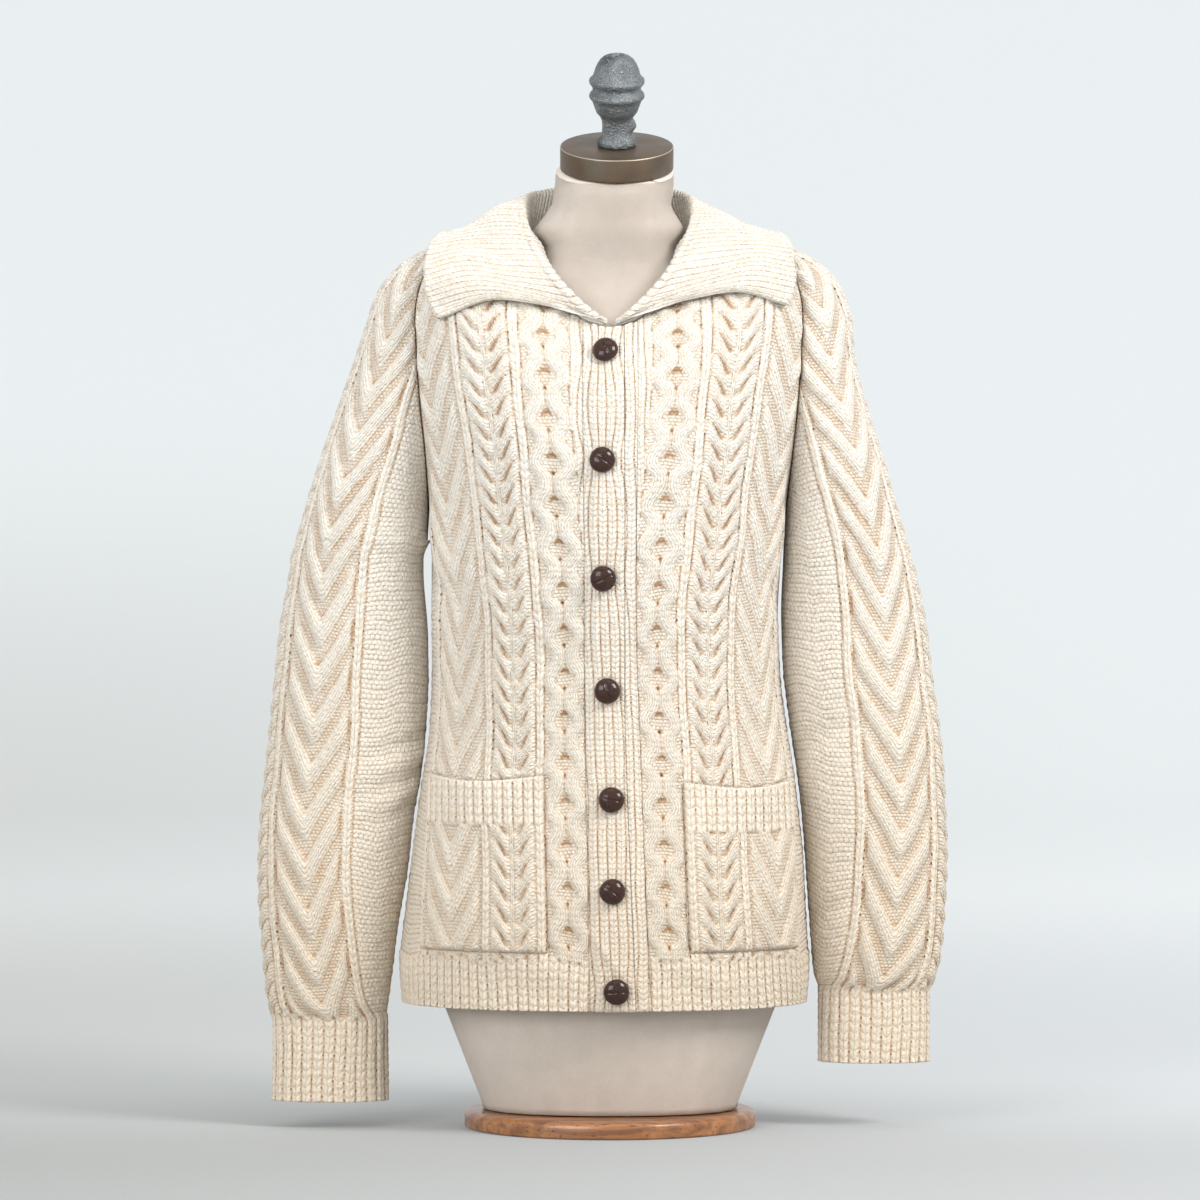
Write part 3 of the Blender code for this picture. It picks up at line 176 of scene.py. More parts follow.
def body_rings(side, face, level):
    """Half rings of the body from the centre to the seam, one a level, and the distance along them."""
    reach = torso("front_y" if face == "front" else "back_y", level)
    seam_x = torso("seam_" + side, level)
    seam_z = torso(face + "_seam_z", level)
    centre_z = level[:, None] if face == "front" else torso("back_z", level)
    seam_y = np.where(
        level[:, None] > UNDERARM, yoke("depth", level) * np.sin(np.radians(yoke("phi", level))), 0.0
    )
    share = (1 - np.minimum(seam_y / np.abs(reach), 0.99) ** EXPONENT) ** (1 / EXPONENT)
    last = np.arcsin(np.minimum(share ** (EXPONENT / 2), 1.0))
    angle = last * np.linspace(0, 1, 301)[None, :]
    x = seam_x / share * np.sin(angle) ** (2 / EXPONENT)
    y = reach * np.clip(np.cos(angle), 0, 1) ** (2 / EXPONENT)
    w = np.clip(x / seam_x, 0, 1)
    z = seam_z + (centre_z - seam_z) * np.clip(np.cos(w * math.pi / 2), 0, 1) ** torso("power", level)
    along = np.zeros_like(x)
    along[:, 1:] = np.cumsum(np.hypot(np.diff(x, axis=1), np.diff(y, axis=1)), axis=1)
    return np.stack([SIGN[side] * x, y, z], 2), along


def arm_rings(side, level):
    """Rings round a sleeve, from its back seam over the top line to its front seam, with signed distance."""
    turn = np.linspace(-1, 1, 601)[None, :]
    high = level[:, None] >= UNDERARM
    phi = np.where(high, np.radians(yoke("phi", level)), math.pi)
    angle = phi * turn
    depth = yoke("depth", level)
    seam_x = torso("seam_" + side, level) + 2 * GAP
    side_x = yoke("side_x_" + side, level)
    wide = (side_x - seam_x) / (1 - np.cos(phi))
    top_z = yoke("side_z_" + side, level)
    part = (1 - np.cos(angle)) / (1 - np.cos(phi))
    seam_z = np.where(angle > 0, torso("front_seam_z", level), torso("back_seam_z", level))
    value = {name: smooth(ARM_NAMES, ARM[side], name, level)[:, None] for name in ARM_NAMES[1:]}
    x = np.where(high, side_x - wide + wide * np.cos(angle), value["centre"] + value["half"] * np.cos(angle))
    y = np.where(high, -depth * np.sin(angle), value["y"] - value["depth"] * np.sin(angle))
    z = np.where(high, top_z + (seam_z - top_z) * part, level[:, None] + 0 * angle)
    along = np.zeros_like(x)
    along[:, 1:] = np.cumsum(np.hypot(np.diff(x, axis=1), np.diff(y, axis=1)), axis=1)
    return np.stack([SIGN[side] * x, y, z], 2), along - along[:, 300:301]


def rings_of(side, face, level):
    return arm_rings(side, level) if face == "arm" else body_rings(side, face, level)


def on_rings(rings, distance):
    points, along = rings
    out = np.empty(distance.shape + (3,))
    for i in range(len(distance)):
        for c in range(3):
            out[i, :, c] = np.interp(distance[i], along[i], points[i, :, c])
    return out


def surface(side, face, level, distance):
    """Points of the plain outer face and its outward normals, for rows at the levels."""
    rings = rings_of(side, face, level)
    first, last = rings[1][:, :1], rings[1][:, -1:]
    p = on_rings(rings, distance)
    near = np.clip(distance, first + 1.5, last - 1.5)
    across = on_rings(rings, near + 1.5) - on_rings(rings, near - 1.5)
    share = (near - first) / (last - first)
    ends = []
    lowest = 15.0 if face == "arm" else 100.0
    for step in (-3.0, 3.0):
        other = rings_of(side, face, np.clip(level + step, lowest, NECK))
        a, b = other[1][:, :1], other[1][:, -1:]
        ends.append(on_rings(other, a + share * (b - a)))
    n = np.cross(across, ends[1] - ends[0])
    n /= np.maximum(np.linalg.norm(n, axis=2), 1e-9)[..., None]
    here = on_rings(rings, near)
    if face == "arm":
        inside = rings[0].mean(1)[:, None, :] * np.ones_like(here)
        inside[..., 2] -= np.where(level > UNDERARM + 100, 60, 0)[:, None]
    else:
        inside = np.zeros_like(here)
        inside[..., 2] = here[..., 2] - np.where(level > 640, 120, 0)[:, None]
    flip = np.sum(n * (here - inside), 2) < 0
    n[flip] *= -1
    return p, n


# ---------------------------------------------------------------- the knit, in the flat piece's own coordinates
# A stitch reads as (x, y) in cells: kind 0 is a V of knit, 1 a purl bump, 2 a moss pad, 3 plain.
# the last number of each knit form is how strongly the painted shade of the holes and lines at its rib borders shows
KNIT_WIDE, KNIT_TALL = 4.6, 5.0
RIB_TALL = 7.4
RING_PITCH, ROPE_PITCH, CHEVRON_PITCH = 37.0, 19.0, 42.0
CHEVRON_SLOPE = 1.9
STRAND = 6.2  # half the width of a chevron's strand
RING_AT = 39.5
MOSS_WIDE, MOSS_TALL = 9.0, 8.3


def dome(d, half, power=0.5):
    return np.clip(1 - (d / half) ** 2, 0, 1) ** power


def chain(t, along, deep=0.5):
    """How the V stitches along a strand sink between one another."""
    y = along / KNIT_TALL - 0.5 * np.abs(((t / KNIT_WIDE) % 1) * 2 - 1)
    return deep * np.abs((y % 1) * 2 - 1) ** 3


def ground(u, up, uc, upc):
    """Reverse stockinette: rows of small bumps."""
    return [(0 * u - 0.2, u / 3.3, up / 2.9, 1, 0.0)]


def rib(u, up, uc, centre, half=3.9, high=2.3):
    d = u - centre
    inside = np.abs(d) < half
    y = up / RIB_TALL
    wave = 1 - 0.45 * np.abs(((y - 0.55 * np.abs(d) / half) % 1) * 2 - 1) ** 3
    h = np.where(inside, high * dome(d, half) * wave, -9.0)
    return (h, d / (2 * half) + 0.5, y, 0, 0.9)


def ring_column(u, up, centre):
    """Two broad strands that part round a small hollow and lie side by side between the hollows."""
    made = [(np.where(np.abs(u - centre) < 17.5, 0.9, -9.0), u / 3.3, up / 2.9, 1, 0.0)]
    wave = 2 * math.pi * up / RING_PITCH
    wave = wave + 0.3 * np.sin(wave - 0.6)
    parted = ((1 - np.cos(wave)) / 2) ** 1.7
    away = 6.1 + 7.2 * parted
    lean = 7.2 * 1.7 * parted**0.41 * np.sin(wave) * math.pi / RING_PITCH
    half = 6.4 - 1.1 * parted
    for sign in (1, -1):
        t = (u - centre - sign * away) / np.sqrt(1 + lean**2)
        high = 3.4 + 0.35 * sign * np.sin(wave / 2)
        h = np.where(np.abs(t) < half, high * dome(t, half, 0.42) - chain(t, up), -9.0)
        made.append((h, t / 4.3 + 0.5, up / KNIT_TALL, 0, 0.0))
    hollow = parted * np.exp(-(((u - centre) / 5.0) ** 2)) > 0.45
    made[0] = (np.where(hollow, -0.9, made[0][0]), *made[0][1:])
    return made


def ring_hollow_shade(u, up):
    """Painted shade under each hollow's arched top, and the painted dark of the small slit below it."""
    d = u - RING_AT
    phase = (up / RING_PITCH) % 1 * RING_PITCH
    arch = phase - (25.0 - 0.55 * np.abs(d))
    shade = np.exp(-((arch / 2.0) ** 2)) * np.exp(-((d / 5.2) ** 4))
    slit = np.exp(-((d / 1.1) ** 2)) * np.exp(-(((phase - 8.6) / 1.9) ** 2))
    return np.where(up > 2, 0.75 * shade + 1.5 * slit, 0.0)


def rope(u, up, uc, upc, inner, wide, twist, to_centre):
    """A rope of strands that climb across it; the hollows between them widen towards the pair's middle."""
    slope = twist * ROPE_PITCH / wide
    x = (u - inner) / wide * 2 - 1
    bent = 0.9 * slope * wide / 2 * (x + 0.28 * np.sin(math.pi * x))
    xc = (uc - inner) / wide * 2 - 1
    bent_c = 0.9 * slope * wide / 2 * (xc + 0.28 * np.sin(math.pi * xc))
    base = twist * ROPE_PITCH / 2
    k = np.round((upc - base - bent_c) / ROPE_PITCH)
    f = (up - base - bent) / ROPE_PITCH - k
    length = math.sqrt(1 + slope * slope)
    t = f * ROPE_PITCH / length
    q = to_centre * x
    half = 6.9 - 2.3 * np.exp(-(((q - 0.3) / 0.42) ** 2))
    ends = np.clip(1 - np.abs(x) ** 4, 0, 1) ** 0.5
    h = np.where(np.abs(x) < 1, (3.6 * dome(t, half, 0.62) - 0.1) * ends, -9.0)
    along = (u + slope * up) / length
    return (h - chain(t, along), t / KNIT_WIDE, along / KNIT_TALL, 0, 0.0)


def chevron(u, up, uc, upc, centre, half):
    """Strands that run down to the middle of the column, over a purl ground."""
    d, dc = np.sqrt((u - centre) ** 2 + 5) - 2.2, np.sqrt((uc - centre) ** 2 + 5) - 2.2
    length = math.sqrt(1 + CHEVRON_SLOPE**2)
    k = np.round((upc - CHEVRON_SLOPE * dc) / CHEVRON_PITCH)
    t = ((up - CHEVRON_SLOPE * d) - k * CHEVRON_PITCH) / length
    over = np.where(u > centre, 0.25, -0.1) * np.exp(-((d / 6) ** 2))
    ends = 1 - ease(np.abs(u - centre), half - 4.0, half + 1.0)
    inside = (np.abs(t) < STRAND) & (np.abs(u - centre) < half)
    h = np.where(inside, (3.5 + over) * dome(t, STRAND, 0.55) * ends, -9.0)
    along = (d + CHEVRON_SLOPE * up) / length
    return (h - chain(t, along), t / KNIT_WIDE, along / KNIT_TALL, 0, 0.0)


def moss(u, up, first):
    x, y = (u - first) / MOSS_WIDE, up / MOSS_TALL
    pad = (0.7 + 0.3 * np.abs(np.sin(math.pi * x)) ** 0.5) * np.abs(np.sin(math.pi * y)) ** 0.35
    step = 0.25 * np.sin(2.1 * np.floor(x) + 3.7 * np.floor(y))
    return (np.where(u >= first, (1.25 + step) * pad, -9.0), x * 2, y * 2, 2, 0.3)


def body_knit(u, up, uc, upc):
    """Every form that may lie at a place of a front or the back; the highest shows."""
    made = ground(u, up, uc, upc)
    made.append((np.where(u < 21, 0.5, -9.0), (u - 21) / KNIT_WIDE, up / KNIT_TALL, 0, 0.5))
    made += ring_column(u, up, RING_AT)
    made.append(rib(u, up, uc, 61.5))
    made.append(rope(u, up, uc, upc, 66, 18.6, -1, 1))
    made.append(rope(u, up, uc, upc, 87.4, 18.6, 1, -1))
    made.append(rib(u, up, uc, 86, 1.9, 1.9))
    made.append(rib(u, up, uc, 110.5))
    made.append(chevron(u, up, uc, upc, 146, 29))
    made.append(rib(u, up, uc, 181.5))
    made.append(moss(u, up, 187))
    return made


def sleeve_knit(u, up, uc, upc):
    """The same for a sleeve, where u is the distance from its top line, the same both ways."""
    a, ac = np.abs(u), np.abs(uc)
    made = ground(a, up, ac, upc)
    made.append(rope(a, up, ac, upc, 1.5, 20.5, 1, -1))
    made.append(rib(a, up, ac, 0, 2.0, 1.9))
    made.append(rib(a, up, ac, 26.5))
    made.append(chevron(a, up, ac, upc, 62, 29))
    made.append(rib(a, up, ac, 97.5))
    made.append(moss(a, up, 103))
    return made


def best(made):
    high = np.stack([m[0] for m in made])
    return np.argmax(high, 0), high.max(0)


def blur(h, reach):
    """A box blur along rows and columns."""
    for axis in (0, 1):
        n = h.shape[axis]
        total = np.cumsum(np.concatenate([np.zeros_like(np.take(h, [0], axis)), h], axis), axis)
        low, high = np.clip(np.arange(n) - reach, 0, n), np.clip(np.arange(n) + reach + 1, 0, n)
        size = (high - low).reshape([-1, 1] if axis == 0 else [1, -1])
        h = (np.take(total, high, axis) - np.take(total, low, axis)) / size
    return h


# ---------------------------------------------------------------- meshes
class Cloth:
    """A closed wall: a fine outer grid with stitch coordinates, a coarse inner one and rims."""

    def __init__(self):
        self.points, self.count = [], 0
        self.painted_shade_and_wear = []
        self.faces, self.cells, self.kinds = [], [], []

    def add(self, points, painted_shade_and_wear=0.0):
        points = np.asarray(points, float).reshape(-1, 3)
        start = self.count
        self.points.append(points)
        self.painted_shade_and_wear.append(np.broadcast_to(np.asarray(painted_shade_and_wear, float).reshape(-1), (len(points),)) + 0.0)
        self.count += len(points)
        return start

    def corners(self, faces, cells=None, kinds=None):
        """faces as (n, 4) or (n, 3) indices, with the stitch cell at each corner and the kind of each face."""
        faces = np.asarray(faces)
        n, k = faces.shape
        self.faces.append(faces)
        self.cells.append(np.zeros((n, k, 2)) + 0.5 if cells is None else cells)
        self.kinds.append(np.tile([3.0, 0.0], (n, 1)) if kinds is None else kinds)

    def strip(self, a, b, keys_a, keys_b):
        """Triangles between two chains of points in the order of their keys."""
        i = j = 0
        tris = []
        while i < len(a) - 1 or j < len(b) - 1:
            if j == len(b) - 1 or (i < len(a) - 1 and keys_a[i + 1] <= keys_b[j + 1]):
                tris.append((a[i], a[i + 1], b[j]))
                i += 1
            else:
                tris.append((a[i], b[j + 1], b[j]))
                j += 1
        tris = [t for t in tris if len(set(t)) == 3]
        if tris:
            self.corners(tris)

    def make(self, name, material, node):
        points = np.concatenate(self.points) * MM
        mesh = bpy.data.meshes.new(name)
        loops = np.concatenate([f.reshape(-1) for f in self.faces])
        sizes = np.concatenate([np.full(len(f), f.shape[1]) for f in self.faces])
        mesh.vertices.add(len(points))
        mesh.vertices.foreach_set("co", points.reshape(-1))
        mesh.loops.add(len(loops))
        mesh.loops.foreach_set("vertex_index", loops)
        mesh.polygons.add(len(sizes))
        mesh.polygons.foreach_set("loop_start", np.concatenate([[0], np.cumsum(sizes)[:-1]]))
        cells = mesh.uv_layers.new(name="stitch")
        cells.data.foreach_set("uv", np.concatenate([c.reshape(-1) for c in self.cells]))
        kinds = mesh.uv_layers.new(name="kind")
        per = [np.repeat(k, f.shape[1], axis=0) for k, f in zip(self.kinds, self.faces)]
        kinds.data.foreach_set("uv", np.concatenate(per).reshape(-1))
        # this point attribute holds the painted shade of the knit's grooves, seams, pocket edges and slits, and the
        # worn rim of the bronze cap
        painted_shade_and_wear = mesh.attributes.new("painted_shade_and_wear", "FLOAT", "POINT")
        painted_shade_and_wear.data.foreach_set("value", np.concatenate(self.painted_shade_and_wear))
        mesh.update(calc_edges=True)
        mesh.validate(clean_customdata=False)
        o = bpy.data.objects.new(name, mesh)
        bpy.context.scene.collection.objects.link(o)
        bpy.context.view_layer.objects.active = o
        bm_outward(mesh)
        mesh.polygons.foreach_set("use_smooth", np.ones(len(mesh.polygons), bool))
        mesh.materials.append(material)
        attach(o, "root")
        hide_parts(*([node] if isinstance(node, str) else node))
        return o


def bm_outward(mesh):
    b = bmesh.new()
    b.from_mesh(mesh)
    loose = [v for v in b.verts if not v.link_faces]
    bmesh.ops.delete(b, geom=loose, context="VERTS")
    bmesh.ops.recalc_face_normals(b, faces=b.faces[:])
    if b.calc_volume(signed=True) < 0:
        bmesh.ops.reverse_faces(b, faces=b.faces[:])
    b.to_mesh(mesh)
    b.free()


def grid_faces(rows, columns, low, high, start):
    """Quads of a grid whose row i holds the columns low[i]..high[i]; the ends of uneven rows are triangles."""
    i, j = np.meshgrid(np.arange(rows - 1), np.arange(columns - 1), indexing="ij")
    i, j = i.reshape(-1), j.reshape(-1)

    def at(r, c):
        return start + r * columns + np.clip(c, low[r], high[r])

    quads = np.stack([at(i, j), at(i, j + 1), at(i + 1, j + 1), at(i + 1, j)], 1)
    places = np.stack([i, j], 1)
    a, b, c, d = quads.T
    full = (a != b) & (c != d)
    top = (a != b) & (c == d)
    bottom = (a == b) & (c != d)
    tris = np.concatenate([quads[top][:, [0, 1, 2]], quads[bottom][:, [0, 2, 3]]])
    return quads[full], places[full], tris


def put_grid(cloth, points, painted_shade_and_wear, u, up, low, high, knit):
    """Adds a fine outer grid with its stitch cells."""
    rows, columns = u.shape
    start = cloth.add(points, painted_shade_and_wear.reshape(-1))
    quads, _, tris = grid_faces(rows, columns, low, high, start)
    flat_u, flat_up = u.reshape(-1), up.reshape(-1)
    for faces in (quads, tris):
        if not len(faces):
            continue
        cu, cup = flat_u[faces - start], flat_up[faces - start]
        mid_u = np.repeat(cu.mean(1)[:, None], faces.shape[1], 1)
        mid_up = np.repeat(cup.mean(1)[:, None], faces.shape[1], 1)
        pick = best(knit(mid_u[:, :1], mid_up[:, :1], mid_u[:, :1], mid_up[:, :1]))[0][:, 0]
        made = knit(cu, cup, mid_u, mid_up)
        cells = np.zeros(faces.shape + (2,))
        kinds = np.zeros((len(faces), 2))
        for k, m in enumerate(made):
            chosen = pick == k
            cells[chosen, :, 0] = m[1][chosen]
            cells[chosen, :, 1] = m[2][chosen]
            kinds[chosen] = (m[3], m[4])
        cloth.corners(faces, cells, kinds)
    return start


def fine_levels(low, high, step, top_step):
    parts = [np.arange(low, min(high, 545.0), step)]
    if high > 545:
        parts.append(np.arange(545.0, high, top_step))
    return np.append(np.concatenate(parts), high)


# Soft troughs and ridges: side, face, level, u, lean in degrees, length, width, height
FOLD_NAMES = "side face level u lean long wide high".split()
FOLDS = (
    ("right", "front", 470, 172, 62, 46, 13, -2.4),
    ("right", "front", 500, 150, 55, 40, 12, 1.6),
    ("left", "front", 476, 170, -60, 44, 13, -2.2),
    ("left", "front", 505, 148, -52, 40, 12, 1.4),
    ("right", "front", 398, 120, 12, 90, 26, -1.8),
    ("left", "front", 392, 118, -10, 90, 26, -1.8),
    ("right", "front", 150, 70, 70, 50, 14, 2.0),
    ("left", "front", 146, 60, -66, 55, 14, 2.2),
    ("left", "front", 235, 150, 30, 70, 20, 1.6),
    ("right", "front", 240, 150, -28, 70, 20, 1.6),
    ("left", "back", 480, 150, -55, 60, 16, -2.4),
    ("right", "back", 474, 152, 55, 60, 16, -2.4),
    ("left", "back", 330, 80, 82, 80, 17, -2.2),
    ("right", "back", 318, 90, -84, 80, 17, -2.2),
    ("left", "back", 365, 60, -80, 90, 18, 2.2),
    ("right", "back", 352, 50, 80, 90, 18, 2.0),
    ("left", "back", 215, 120, 25, 90, 24, 2.2),
    ("right", "back", 205, 115, -25, 90, 24, 2.2),
    ("left", "arm", 300, -120, 70, 46, 11, -2.4),
    ("left", "arm", 322, -118, 66, 46, 10, 2.0),
    ("left", "arm", 345, 128, -68, 40, 10, -2.2),
    ("left", "arm", 190, 128, -70, 44, 9, -2.0),
    ("left", "arm", 470, 70, 40, 60, 15, -2.2),
    ("left", "arm", 455, -80, -45, 60, 15, -2.2),
    ("right", "arm", 338, 150, 74, 42, 7, -2.6),
    ("right", "arm", 322, 150, 74, 42, 7, 2.0),
    ("right", "arm", 306, 152, 72, 40, 7, -2.4),
    ("right", "arm", 292, 150, 70, 38, 7, 1.8),
    ("right", "arm", 276, 150, 70, 36, 7, -2.0),
    ("right", "arm", 300, -125, -70, 46, 11, -2.4),
    ("right", "arm", 470, 78, 42, 60, 15, -2.2),
    ("right", "arm", 455, -84, -45, 60, 15, -2.2),
)


def drape(side, face, level, u):
    """How far the cloth stands off its plain form: the folds, and a slow unevenness."""
    off = 0.35 * np.sin(level / 31 + u / 47) + 0.3 * np.sin(level / 17 - u / 29 + 1.3)
    for row in FOLDS:
        fold = dict(zip(FOLD_NAMES, row))
        if fold["side"] != side or fold["face"] != face:
            continue
        lean = math.radians(fold["lean"])
        du, dl = u - fold["u"], level - fold["level"]
        along = du * math.sin(lean) + dl * math.cos(lean)
        across = du * math.cos(lean) - dl * math.sin(lean)
        off = off + fold["high"] * np.exp(-((along / fold["long"]) ** 2)) * np.exp(-((across / fold["wide"]) ** 2))
    return off


def inner_bulge(side, level):
    """The sleeves swell a little towards the body between the pocket and the underarm."""
    low, high, most = (225.0, 345.0, 0.4) if side == "left" else (160.0, 250.0, 0.5)
    return most * ease(level, low, high) * (1 - ease(level, 455.0, 503.0))


def column_place(side, face, level, u):
    """The distance along a ring at which a column lies, for a column of levels and a row of u."""
    if face == "arm":
        return u
    edge = 9.0 if face == "back" else front("edge_" + side, level)
    strip = 0.0 if face == "back" else front("strip", level)
    return edge + strip + (u - 22) * front("fan", level)


def column_of(side, face, level, distance):
    if face == "arm":
        return distance
    edge = 9.0 if face == "back" else front("edge_" + side, level)
    strip = 0.0 if face == "back" else front("strip", level)
    return 22 + (distance - edge - strip) / front("fan", level)


def sheet_grid(side, face, level, step, bottom):
    """A grid whose columns are knit columns, trimmed to the panel's edges in each row."""
    total = rings_of(side, face, level)[1][:, -1:]
    if face == "arm":
        first, last = column_of(side, face, level, rings_of(side, face, level)[1][:, :1] + GAP), None
    elif face == "back":
        first = column_of(side, face, level, 0 * total)
    else:
        first = column_of(side, face, level, front("edge_" + side, level))
    last = column_of(side, face, level, total - GAP)
    u = np.arange(math.floor(first.min() / step) * step, last.max() + 2 * step, step)
    low = np.searchsorted(u, first[:, 0] + step / 2) - 1
    low = np.maximum(low, 0)
    high = np.searchsorted(u, last[:, 0] - step / 2)
    full = np.repeat(u[None, :], len(level), 0)
    rows = np.arange(len(level))
    full[rows, low] = first[:, 0]
    full[rows, high] = last[:, 0]
    distance = column_place(side, face, level, full)
    p, n = surface(side, face, level, distance)
    columns = np.repeat(u[None, :], len(level), 0)
    column_p = on_rings(rings_of(side, face, level), column_place(side, face, level, columns))
    steps = np.linalg.norm(np.diff(column_p, axis=0), axis=2)
    up = np.concatenate([np.zeros((1, len(u))), np.cumsum(steps, 0)])
    start = np.stack([np.interp(bottom, level, up[:, j]) for j in range(len(u))])
    return full, up - start[None, :], p, n, low, high, first, last


def relief(u, up, knit, reach):
    """The heights of the knit and how deep in a groove each point lies, the depth that the wool's painted groove shade
    follows.
    """
    h = best(knit(u, up, u, up))[1]
    h = 0.72 * h + 0.28 * blur(h, 1)
    near = np.clip((blur(h, reach) - h) / 1.25, 0, 1)
    broad = np.clip((blur(h, 3 * reach) - h - 0.4) / 2.2, 0, 1)
    return h, np.maximum(near, 0.85 * broad)


def uneven(knit, seed):
    """The same knit with its columns and rows wandering a little, as hand knitting does."""
    a, b, c, d = 2 * math.pi * np.modf(np.array([0.137, 0.419, 0.713, 0.291]) * (seed + 3.7))[0]

    def along(u, up):
        return 0.75 * np.sin(u / 19 + up / 41 + a) + 0.55 * np.sin(up / 13.5 - u / 37 + b)

    def rise(u, up):
        return 1.5 * np.sin(u / 15 + up / 67 + c) + 0.9 * np.sin(u / 7.3 - up / 29 + d)

    def both(u, up, uc, upc):
        return knit(u + along(u, up), up + rise(u, up), uc + along(uc, upc), upc + rise(uc, upc))

    return both


def with_rib(knit, first, pitch, below=-2.0):
    """A rib under the pattern: the hem of a body panel or the cuff of a sleeve."""

    def both(u, up, uc, upc):
        made = [(np.where(upc < below, -9.0, m[0]), *m[1:]) for m in knit(u, up, uc, upc)]
        x = (u - first) / pitch
        f = (x % 1) * 2 - 1
        y = up / RIB_TALL
        wave = 1 - 0.4 * np.abs(((y - 0.55 * np.abs(f)) % 1) * 2 - 1) ** 3
        h = np.where(upc < below, 2.6 * dome(f, 1.0, 0.65) * wave, -9.0)
        made.append((h, x, y, 0, 0.6))
        return made

    return both


def pocket_sag(share):
    """How far the pocket mouth's edge sinks between its corners."""
    return 5.5 * np.sin(math.pi * np.clip(share, 0, 1)) ** 1.3


def under_pocket(side, level, u):
    """The most that a front's knit may stand up, so that it lies flat under its pocket."""
    first, last = POCKET_U[side]
    top, bottom = POCKET[side]
    mouth = top - pocket_sag((u - first) / (last - first)) - level
    inside = np.minimum(np.minimum(u - first, last - u), np.minimum(level - bottom, mouth))
    return 0.3 + 2.5 * np.clip(-inside - 1.4, 0, 9)


INNER_ROWS = 7  # one inner row to so many outer ones


def add_half(cloth, side, face, level, knit, step, inner_step):
    """A fine outer and a coarse inner sheet of one panel or half panel; returns the chains along their edges."""
    chains = {}
    sparse = level[np.unique(np.append(np.arange(0, len(level), INNER_ROWS), len(level) - 1))]
    bottom = (CUFF[side][1] if face == "arm" else HEM_TOP) + 4
    for which, spacing, rows in (("out", step, level), ("in", inner_step, sparse)):
        u, up, p, n, low, high, first, last = sheet_grid(side, face, rows, spacing, bottom)
        a = np.abs(u) if face == "arm" else u
        near = ease(last - a, 0.0, 14.0)
        off = drape(side, face, rows[:, None], u) * near * ease(rows[:, None], HEM if face != "arm" else 0.0, 135.0)
        off = off * (1 - ease(rows[:, None], 560.0, 640.0))
        if face == "front":
            off = off * ease(u - first, 0.0, 14.0)
        if face == "arm":
            off = off + inner_bulge(side, rows[:, None]) * np.exp(-(((last - a) / 30) ** 2))
        if side == "right":
            crease = np.exp(-(((last - a) / 16) ** 2)) * np.exp(-(((rows[:, None] - 512) / 12) ** 2))
            off = off - (2.2 if face == "arm" else 1.2) * crease
        if which == "out":
            h, painted_shade_and_wear = relief(u, up, knit, 2)
            if face != "arm":
                # painted shade under the ring column's hollows and in their slits
                painted_shade_and_wear = painted_shade_and_wear + ring_hollow_shade(u, up)
            close = ease(rows[:, None], 380.0, 470.0) * (1 - ease(rows[:, None], 545.0, 590.0))
            soft = ease(last - a, -0.5 + 7 * close, 5.0 + 22 * close) * (1 - ease(rows[:, None], 688.0, 695.0))
            h = h * soft
            if face == "front":
                h = np.minimum(h, under_pocket(side, rows[:, None], u))
            # painted shade along the panel's seam edge, where it meets the next piece
            painted_shade_and_wear = np.maximum(painted_shade_and_wear, 0.55 * (1 - ease(last - a, 0.5, 3.5)))
            start = put_grid(cloth, p + (h + off)[..., None] * n, painted_shade_and_wear, u, up, low, high, knit)
        else:
            start = cloth.add(p - (WALL - off)[..., None] * n)
            quads, _, tris = grid_faces(*u.shape, low, high, start)
            cloth.corners(quads)
            if len(tris):
                cloth.corners(tris)
        r = np.arange(len(rows))
        ids = start + np.arange(u.size).reshape(u.shape)
        chains[which] = {
            "low": (ids[r, low], rows),
            "high": (ids[r, high], rows),
            "bottom": (ids[0, low[0] : high[0] + 1], u[0, low[0] : high[0] + 1]),
            "top": (ids[-1, low[-1] : high[-1] + 1], u[-1, low[-1] : high[-1] + 1]),
        }
    return chains


def merge_points(cloth, keep, drop):
    """Every face that uses a point of drop uses the one of keep in its place."""
    remap = np.arange(cloth.count)
    remap[np.asarray(drop)] = np.asarray(keep)
    cloth.faces = [remap[f] for f in cloth.faces]
    return remap


def rims(cloth, chains, sides):
    for side in sides:
        (a, ka), (b, kb) = chains["out"][side], chains["in"][side]
        cloth.strip(list(a), list(b), list(ka), list(kb))


FRONT_STEP, BACK_STEP, ARM_STEP = 1.3, 1.9, 1.75


def hem_first(side, face):
    """The first rib's edge and the ribs' pitch in a body panel's hem, as the solids have them."""
    level = np.array([131.0])
    total = rings_of(side, face, level)[1][0, -1] - GAP
    start = 0.0 if face == "back" else float(front("edge_" + side, level)[0, 0])
    count = int(round((total - start) / RIB_PITCH)) + 1
    first = float(column_of(side, face, level, np.array([[start]]))[0, 0])
    last = float(column_of(side, face, level, np.array([[total]]))[0, 0])
    return first, (last - first) / count


def make_front(side, material):
    cloth = Cloth()
    level = fine_levels(HEM, NECK, 1.3, 1.05)
    knit = uneven(with_rib(front_knit(side), *hem_first(side, "front")), 1 if side == "left" else 2)
    chains = add_half(cloth, side, "front", level, knit, FRONT_STEP, 9.0)
    rims(cloth, chains, ("low", "high", "bottom", "top"))
    return cloth.make("knit_front_" + side, material, "front_" + side)


